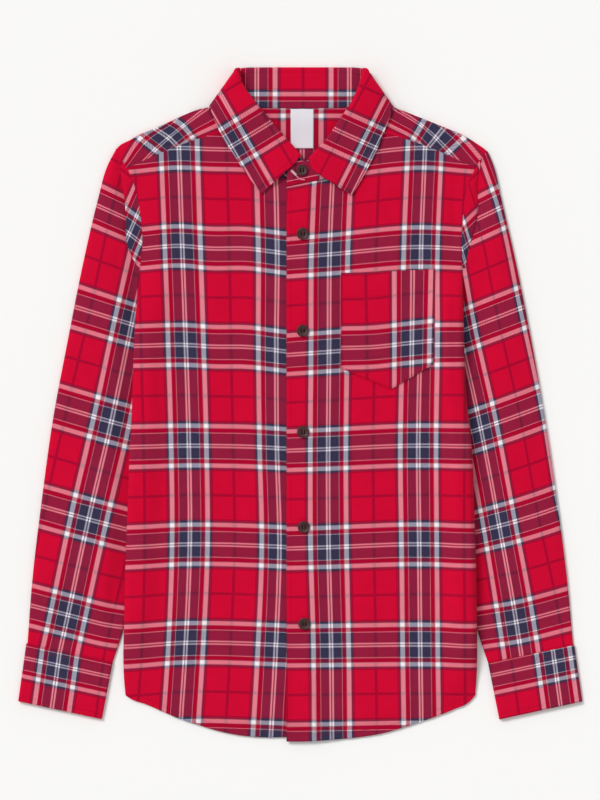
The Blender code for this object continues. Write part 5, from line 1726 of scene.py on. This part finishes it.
def add_stitches(shape, points, pitch=STITCH_PITCH, length=STITCH_LENGTH, width=STITCH_WIDTH):
    """Sew a line of stitches along points of the cloth's top."""
    for place, way in zip(*run_of(points, pitch)):
        turn = Vector(way).to_track_quat("X", "Z").to_matrix().to_4x4()
        size = Matrix.Diagonal((length / 2 * MM, width / 2 * MM, width / 2 * MM, 1.0))
        matrix = Matrix.Translation(Vector(place) * MM) @ turn @ size
        bmesh.ops.create_uvsphere(shape, u_segments=6, v_segments=4, radius=1.0, matrix=matrix)


def finish_sewing(name, shape, material):
    """Keep a bmesh of stitches as a piece."""
    mesh = mesh_of(name, shape)
    mesh.shade_smooth()
    mesh.materials.append(material)
    piece = add_object(name, mesh)
    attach(piece, "root")


def surface_line(plan, level, thickness):
    """Points on a wall's top along a plan line."""
    plan = np.asarray(plan, float)
    heights = level(plan[:, 0], plan[:, 1]) + thickness / 2 + STITCH_LIFT
    return np.concatenate((plan, heights[:, None]), axis=1)


LINE_CLEAR = 2.0
HEM_LINE_POINTS = 60
PLACKET_LINE_POINTS = 200
PLACKET_LINE_TOP = 196.0
SEAM_LINE_CELLS = 40
SEAM_LINE_CLEAR = 2
POCKET_LINE_CELLS = 12
POCKET_HEM_CELLS = 20
CUFF_LINE_CELLS = 30
PLACKET_STITCH = 4.0
PLACKET_INNER_STITCH = 2.0
POCKET_STITCH = 1.6
POCKET_HEM = 22.0
CUFF_STITCH = 5.0
SEAM_STITCH = 2.4
LEAF_STITCH = 5.5
LEAF_END_CELLS = 2
BUTTONHOLE_LENGTH = 16.0
BUTTONHOLE_HALF = 0.8
BUTTONHOLE_PITCH = 0.8
BUTTONHOLE_CELLS = 20
BUTTON_THREAD = 1.0
BUTTON_THREAD_REACH = 1.3
BUTTONHOLE_END = (Point(-7.9, 210.6), Point(-5.3, 208.2), Point(-3.4, 206.2))
BUTTONHOLE_LIP = (Point(-3.4, 205.6), Point(0.2, 202.7), Point(4.2, 202.1))
BUTTONHOLE_END_WIDTH = 2.8
BUTTONHOLE_LIP_WIDTH = 0.7
BUTTONHOLE_END_CELLS = 12


def hem_lines():
    """Stitch lines round the front hem."""
    lines = []
    for side, start, level in ((-1, PLACKET_EDGE_X - LINE_CLEAR, front_level),
                               (1, PLACKET_EDGE_X + LINE_CLEAR, over_front_level)):
        end = float(edge_x(HEM[-1].right, side)) - side * HEM_STITCH
        x = np.linspace(start, end, HEM_LINE_POINTS)
        doubled = (side > 0) & (x < PLACKET_EDGE_X + PLACKET_WIDTH)
        thickness = np.where(doubled, DOUBLE, SINGLE)
        plan = np.stack((x, hem_y(x, side) + HEM_STITCH), axis=-1)
        lines.append(surface_line(plan, level, thickness))
    return lines


def placket_lines():
    """Stitch lines down both edges of the placket."""
    lines = []
    for x in (PLACKET_EDGE_X + PLACKET_STITCH, PLACKET_EDGE_X + PLACKET_WIDTH - PLACKET_INNER_STITCH):
        y = np.linspace(float(hem_y(x, 1)) + LINE_CLEAR, PLACKET_LINE_TOP, PLACKET_LINE_POINTS)
        lines.append(surface_line(np.stack((np.full(len(y), x), y), axis=-1), over_front_level, DOUBLE))
    return lines


def seam_lines():
    """Stitch lines beside the front yoke seams, on the yoke."""
    lines = []
    for side in (-1, 1):
        plan = moved(yoke_seam(side, SEAM_LINE_CELLS), SEAM_STITCH, side)
        lines.append(surface_line(plan[SEAM_LINE_CLEAR:-SEAM_LINE_CLEAR], front_level, SINGLE))
    return lines


def pocket_lines():
    """Stitch lines down the pocket's sides, round its point and under its top hem."""
    outline = [POCKET_TOP[0], *POCKET_BASE, POCKET_TOP[1]]
    corners = [moved([start, end], POCKET_STITCH, 1) for start, end in zip(outline, outline[1:])]
    plan = np.concatenate([straight(start, end, even(POCKET_LINE_CELLS)) for start, end in corners])
    hem = straight(*POCKET_TOP, even(POCKET_HEM_CELLS))[1:-1] - np.array([0.0, POCKET_HEM])
    return [surface_line(line, pocket_level, SINGLE) for line in (plan, hem)]


def cuff_lines(cuff):
    """Stitch lines along a cuff's seam and its edge at the hand."""
    lines = []
    for share_at, far in ((0, 1), (1, 0)):
        pairs = ((cuff.inner_seam, cuff.inner_edge), (cuff.outer_seam, cuff.outer_edge))
        ends = []
        for pair in pairs:
            start, end = np.asarray(pair[share_at], float), np.asarray(pair[far], float)
            ends.append(start + unit(end - start) * CUFF_STITCH)
        inset = unit(ends[1] - ends[0]) * CUFF_STITCH / 2
        plan = straight(ends[0] + inset, ends[1] - inset, even(CUFF_LINE_CELLS))
        lines.append(surface_line(plan, cuff_level, DOUBLE))
    return lines


def leaf_lines(side):
    """Stitch lines along a leaf's free edge and its front end."""
    sections = [np.array(leaf_column(point, side)) for point in half_collar(side) if point.turn == 1.0]
    edge = []
    for section in sections[1:-LEAF_END_CELLS]:
        back = section[::-1]
        edge.append([np.interp(LEAF_STITCH, run_lengths(back), back[:, axis]) for axis in range(3)])
    end = sections[-1 - LEAF_END_CELLS][FOLD_STEPS + 2:]
    away_from_edge = np.linalg.norm(end[:, :2] - end[-1, :2], axis=1) > LEAF_STITCH
    up = np.array([0.0, 0.0, DOUBLE / 2 + STITCH_LIFT])
    return [np.array(edge) + up, end[away_from_edge] + up]


def add_seam_thread(name, lines, thread):
    """A piece of sewing made of stitch lines."""
    shape = bmesh.new()
    for line in lines:
        add_stitches(shape, line)
    finish_sewing(name, shape, thread)


def add_buttonholes(thread):
    """Bound slits under the placket's buttons."""
    shape = bmesh.new()
    for place in BUTTONS[1:]:
        y = place.y + np.linspace(-BUTTONHOLE_LENGTH / 2, BUTTONHOLE_LENGTH / 2, BUTTONHOLE_CELLS + 1)
        for x in (place.x - BUTTONHOLE_HALF, place.x + BUTTONHOLE_HALF):
            plan = np.stack((np.full(len(y), x), y), axis=-1)
            add_stitches(shape, surface_line(plan, over_front_level, DOUBLE),
                         pitch=BUTTONHOLE_PITCH, length=BUTTONHOLE_PITCH)
    finish_sewing("buttonhole_stitches", shape, thread)


def add_stand_buttonhole(context):
    """The pale stitched end and lip of the collar's buttonhole, beside its button."""
    shape = bmesh.new()
    for points, width in ((BUTTONHOLE_END, BUTTONHOLE_END_WIDTH), (BUTTONHOLE_LIP, BUTTONHOLE_LIP_WIDTH)):
        line = surface_line(along(points, even(BUTTONHOLE_END_CELLS)), lapped_stand_level, DOUBLE)
        add_stitches(shape, line, pitch=BUTTONHOLE_PITCH, length=2 * BUTTONHOLE_PITCH, width=width)
    thread = thread_material("buttonhole_thread", colours_of(context).buttonhole)
    finish_sewing("collar_buttonhole", shape, thread)


def add_button_threads(context):
    """Thread in each button's holes: two bars across the dished middle."""
    shape = bmesh.new()
    reach = BUTTON_HOLE_OUT * math.sqrt(0.5)
    for number, place in enumerate(BUTTONS):
        height = button_surface(number, place) + GAP + BUTTON_PROFILE[-1].height
        length = 2 * reach * place.size
        for x in (place.x - length / 2, place.x + length / 2):
            bar = np.array([(x, place.y - length / 2, height), (x, place.y + length / 2, height)])
            add_stitches(shape, bar, pitch=length, length=BUTTON_THREAD_REACH * length,
                         width=BUTTON_THREAD)
    thread = thread_material("button_thread", colours_of(context).button_thread)
    finish_sewing("button_threads", shape, thread)


def add_sewing(context):
    """Topstitching, buttonholes and the thread in the buttons."""
    # The sewing thread's colour holds painted shade: a deeper red than the cloth's, so the stitches read
    # as dents.
    thread = thread_material("sewing_thread", colours_of(context).thread)
    for name, lines in (("hem_stitches", hem_lines()), ("placket_stitches", placket_lines()),
                        ("yoke_stitches", seam_lines()), ("pocket_stitches", pocket_lines()),
                        ("cuff_stitches", cuff_lines(CUFF_RIGHT) + cuff_lines(CUFF_LEFT)),
                        ("collar_stitches", leaf_lines(-1) + leaf_lines(1))):
        add_seam_thread(name, lines, thread)
    add_buttonholes(thread)
    add_stand_buttonhole(context)
    add_button_threads(context)


# ---------------------------------------------------------------- stage

TABLE_SIZE = 4.0
SKY_STRENGTH = 0.6
KEY_PLACE = (-1.0, 1.0, 1.42)
KEY_ANGLE = 20.0
KEY_STRENGTH = 1.86
SENSOR_WIDTH = 36.0


def add_table(context):
    """The pale table."""
    shape = bmesh.new()
    bmesh.ops.create_grid(shape, x_segments=1, y_segments=1, size=TABLE_SIZE)
    mesh = mesh_of("table", shape)
    made, tree, shader = new_material("pale_table")
    uneven_colour(tree, shader, colours_of(context).table, TABLE_TONE, Scale=3.0)
    set_inputs(shader, Roughness=0.8, Specular_IOR_Level=0.1)
    mesh.materials.append(made)
    add_object("table", mesh)


def add_lights(context):
    """A white surround and a soft key light from the upper left."""
    world = bpy.data.worlds.new("studio")
    world.use_nodes = True
    set_inputs(world.node_tree.nodes["Background"], Color=(1.0, 1.0, 1.0, 1.0), Strength=SKY_STRENGTH)
    context.scene.world = world
    lamp = bpy.data.lights.new("key", "SUN")
    lamp.angle = math.radians(KEY_ANGLE)
    lamp.energy = KEY_STRENGTH
    key = add_object("key", lamp)
    key.location = KEY_PLACE
    key.rotation_mode = "QUATERNION"
    key.rotation_quaternion = (-Vector(KEY_PLACE)).to_track_quat("-Z", "Y")


def add_camera(context):
    """A long lens straight above."""
    sizes = sizes_of(context)
    camera = bpy.data.cameras.new("camera")
    camera.sensor_fit = "AUTO"
    camera.sensor_width = SENSOR_WIDTH
    camera.lens = SENSOR_WIDTH * sizes.camera_height / sizes.view_height
    eye = add_object("camera", camera)
    eye.location = (0.0, 0.0, sizes.camera_height)
    context.scene.camera = eye
    context.scene.view_settings.view_transform = "Standard"


# ---------------------------------------------------------------- operators

class SHIRT_OT_stage(bpy.types.Operator):
    """Lay out the table, the lights and the camera"""
    bl_idname = "shirt.stage"
    bl_label = "Stage"

    def execute(self, context):
        add_table(context)
        add_lights(context)
        add_camera(context)
        return {"FINISHED"}


class SHIRT_OT_body(bpy.types.Operator):
    """Cut the back, the yoke and the two fronts"""
    bl_idname = "shirt.body"
    bl_label = "Body"

    def execute(self, context):
        add_back(context)
        add_yoke(context)
        add_front_right(context)
        add_front_left(context)
        return {"FINISHED"}


class SHIRT_OT_sleeves(bpy.types.Operator):
    """Cut the sleeves and their cuffs"""
    bl_idname = "shirt.sleeves"
    bl_label = "Sleeves and cuffs"

    def execute(self, context):
        add_sleeve(context, "right_sleeve", "sleeve_right", RIGHT_SLEEVE)
        add_sleeve(context, "left_sleeve", "sleeve_left", LEFT_SLEEVE)
        add_cuff(context, "right_cuff_band", "cuff_right", CUFF_RIGHT, RIGHT_CUFF_CHECK)
        add_cuff(context, "left_cuff_band", "cuff_left", CUFF_LEFT, LEFT_CUFF_CHECK)
        return {"FINISHED"}


class SHIRT_OT_collar(bpy.types.Operator):
    """Cut the collar's band and its turned leaf"""
    bl_idname = "shirt.collar"
    bl_label = "Collar"

    def execute(self, context):
        add_collar_leaf(context)
        add_collar_stand(context)
        return {"FINISHED"}


class SHIRT_OT_trims(bpy.types.Operator):
    """Add the pocket, the label and the buttons"""
    bl_idname = "shirt.trims"
    bl_label = "Pocket, label and buttons"

    def execute(self, context):
        add_pocket(context)
        add_label(context)
        add_buttons(context)
        return {"FINISHED"}


class SHIRT_OT_sewing(bpy.types.Operator):
    """Sew the topstitching, the buttonholes and the buttons' thread"""
    bl_idname = "shirt.sewing"
    bl_label = "Sewing"

    def execute(self, context):
        add_sewing(context)
        return {"FINISHED"}


OPERATORS = (SHIRT_OT_stage, SHIRT_OT_body, SHIRT_OT_sleeves, SHIRT_OT_collar, SHIRT_OT_trims,
             SHIRT_OT_sewing)


class SHIRT_PT_panel(bpy.types.Panel):
    """Sidebar panel with the shirt's sizes, colours and pieces"""
    bl_idname = "SHIRT_PT_panel"
    bl_label = "Flannel Shirt"
    bl_space_type = "VIEW_3D"
    bl_region_type = "UI"
    bl_category = "Shirt"

    def draw(self, context):
        for settings in (sizes_of(context), colours_of(context)):
            for name in settings.__annotations__:
                self.layout.prop(settings, name)
        for operator in OPERATORS:
            self.layout.operator(operator.bl_idname)


CLASSES = (ShirtSizes, ShirtColours, *OPERATORS, SHIRT_PT_panel)


def register():
    """Register the classes and the scene's settings."""
    for item in CLASSES:
        bpy.utils.register_class(item)
    bpy.types.Scene.shirt_sizes = bpy.props.PointerProperty(type=ShirtSizes)
    bpy.types.Scene.shirt_colours = bpy.props.PointerProperty(type=ShirtColours)


def unregister():
    """Remove the classes and the scene's settings."""
    del bpy.types.Scene.shirt_sizes
    del bpy.types.Scene.shirt_colours
    for item in reversed(CLASSES):
        bpy.utils.unregister_class(item)


def main():
    """Register the add-on, then make every piece."""
    register()
    bpy.ops.shirt.stage()
    bpy.ops.shirt.body()
    bpy.ops.shirt.sleeves()
    bpy.ops.shirt.collar()
    bpy.ops.shirt.trims()
    bpy.ops.shirt.sewing()


if __name__ == "__main__":
    main()
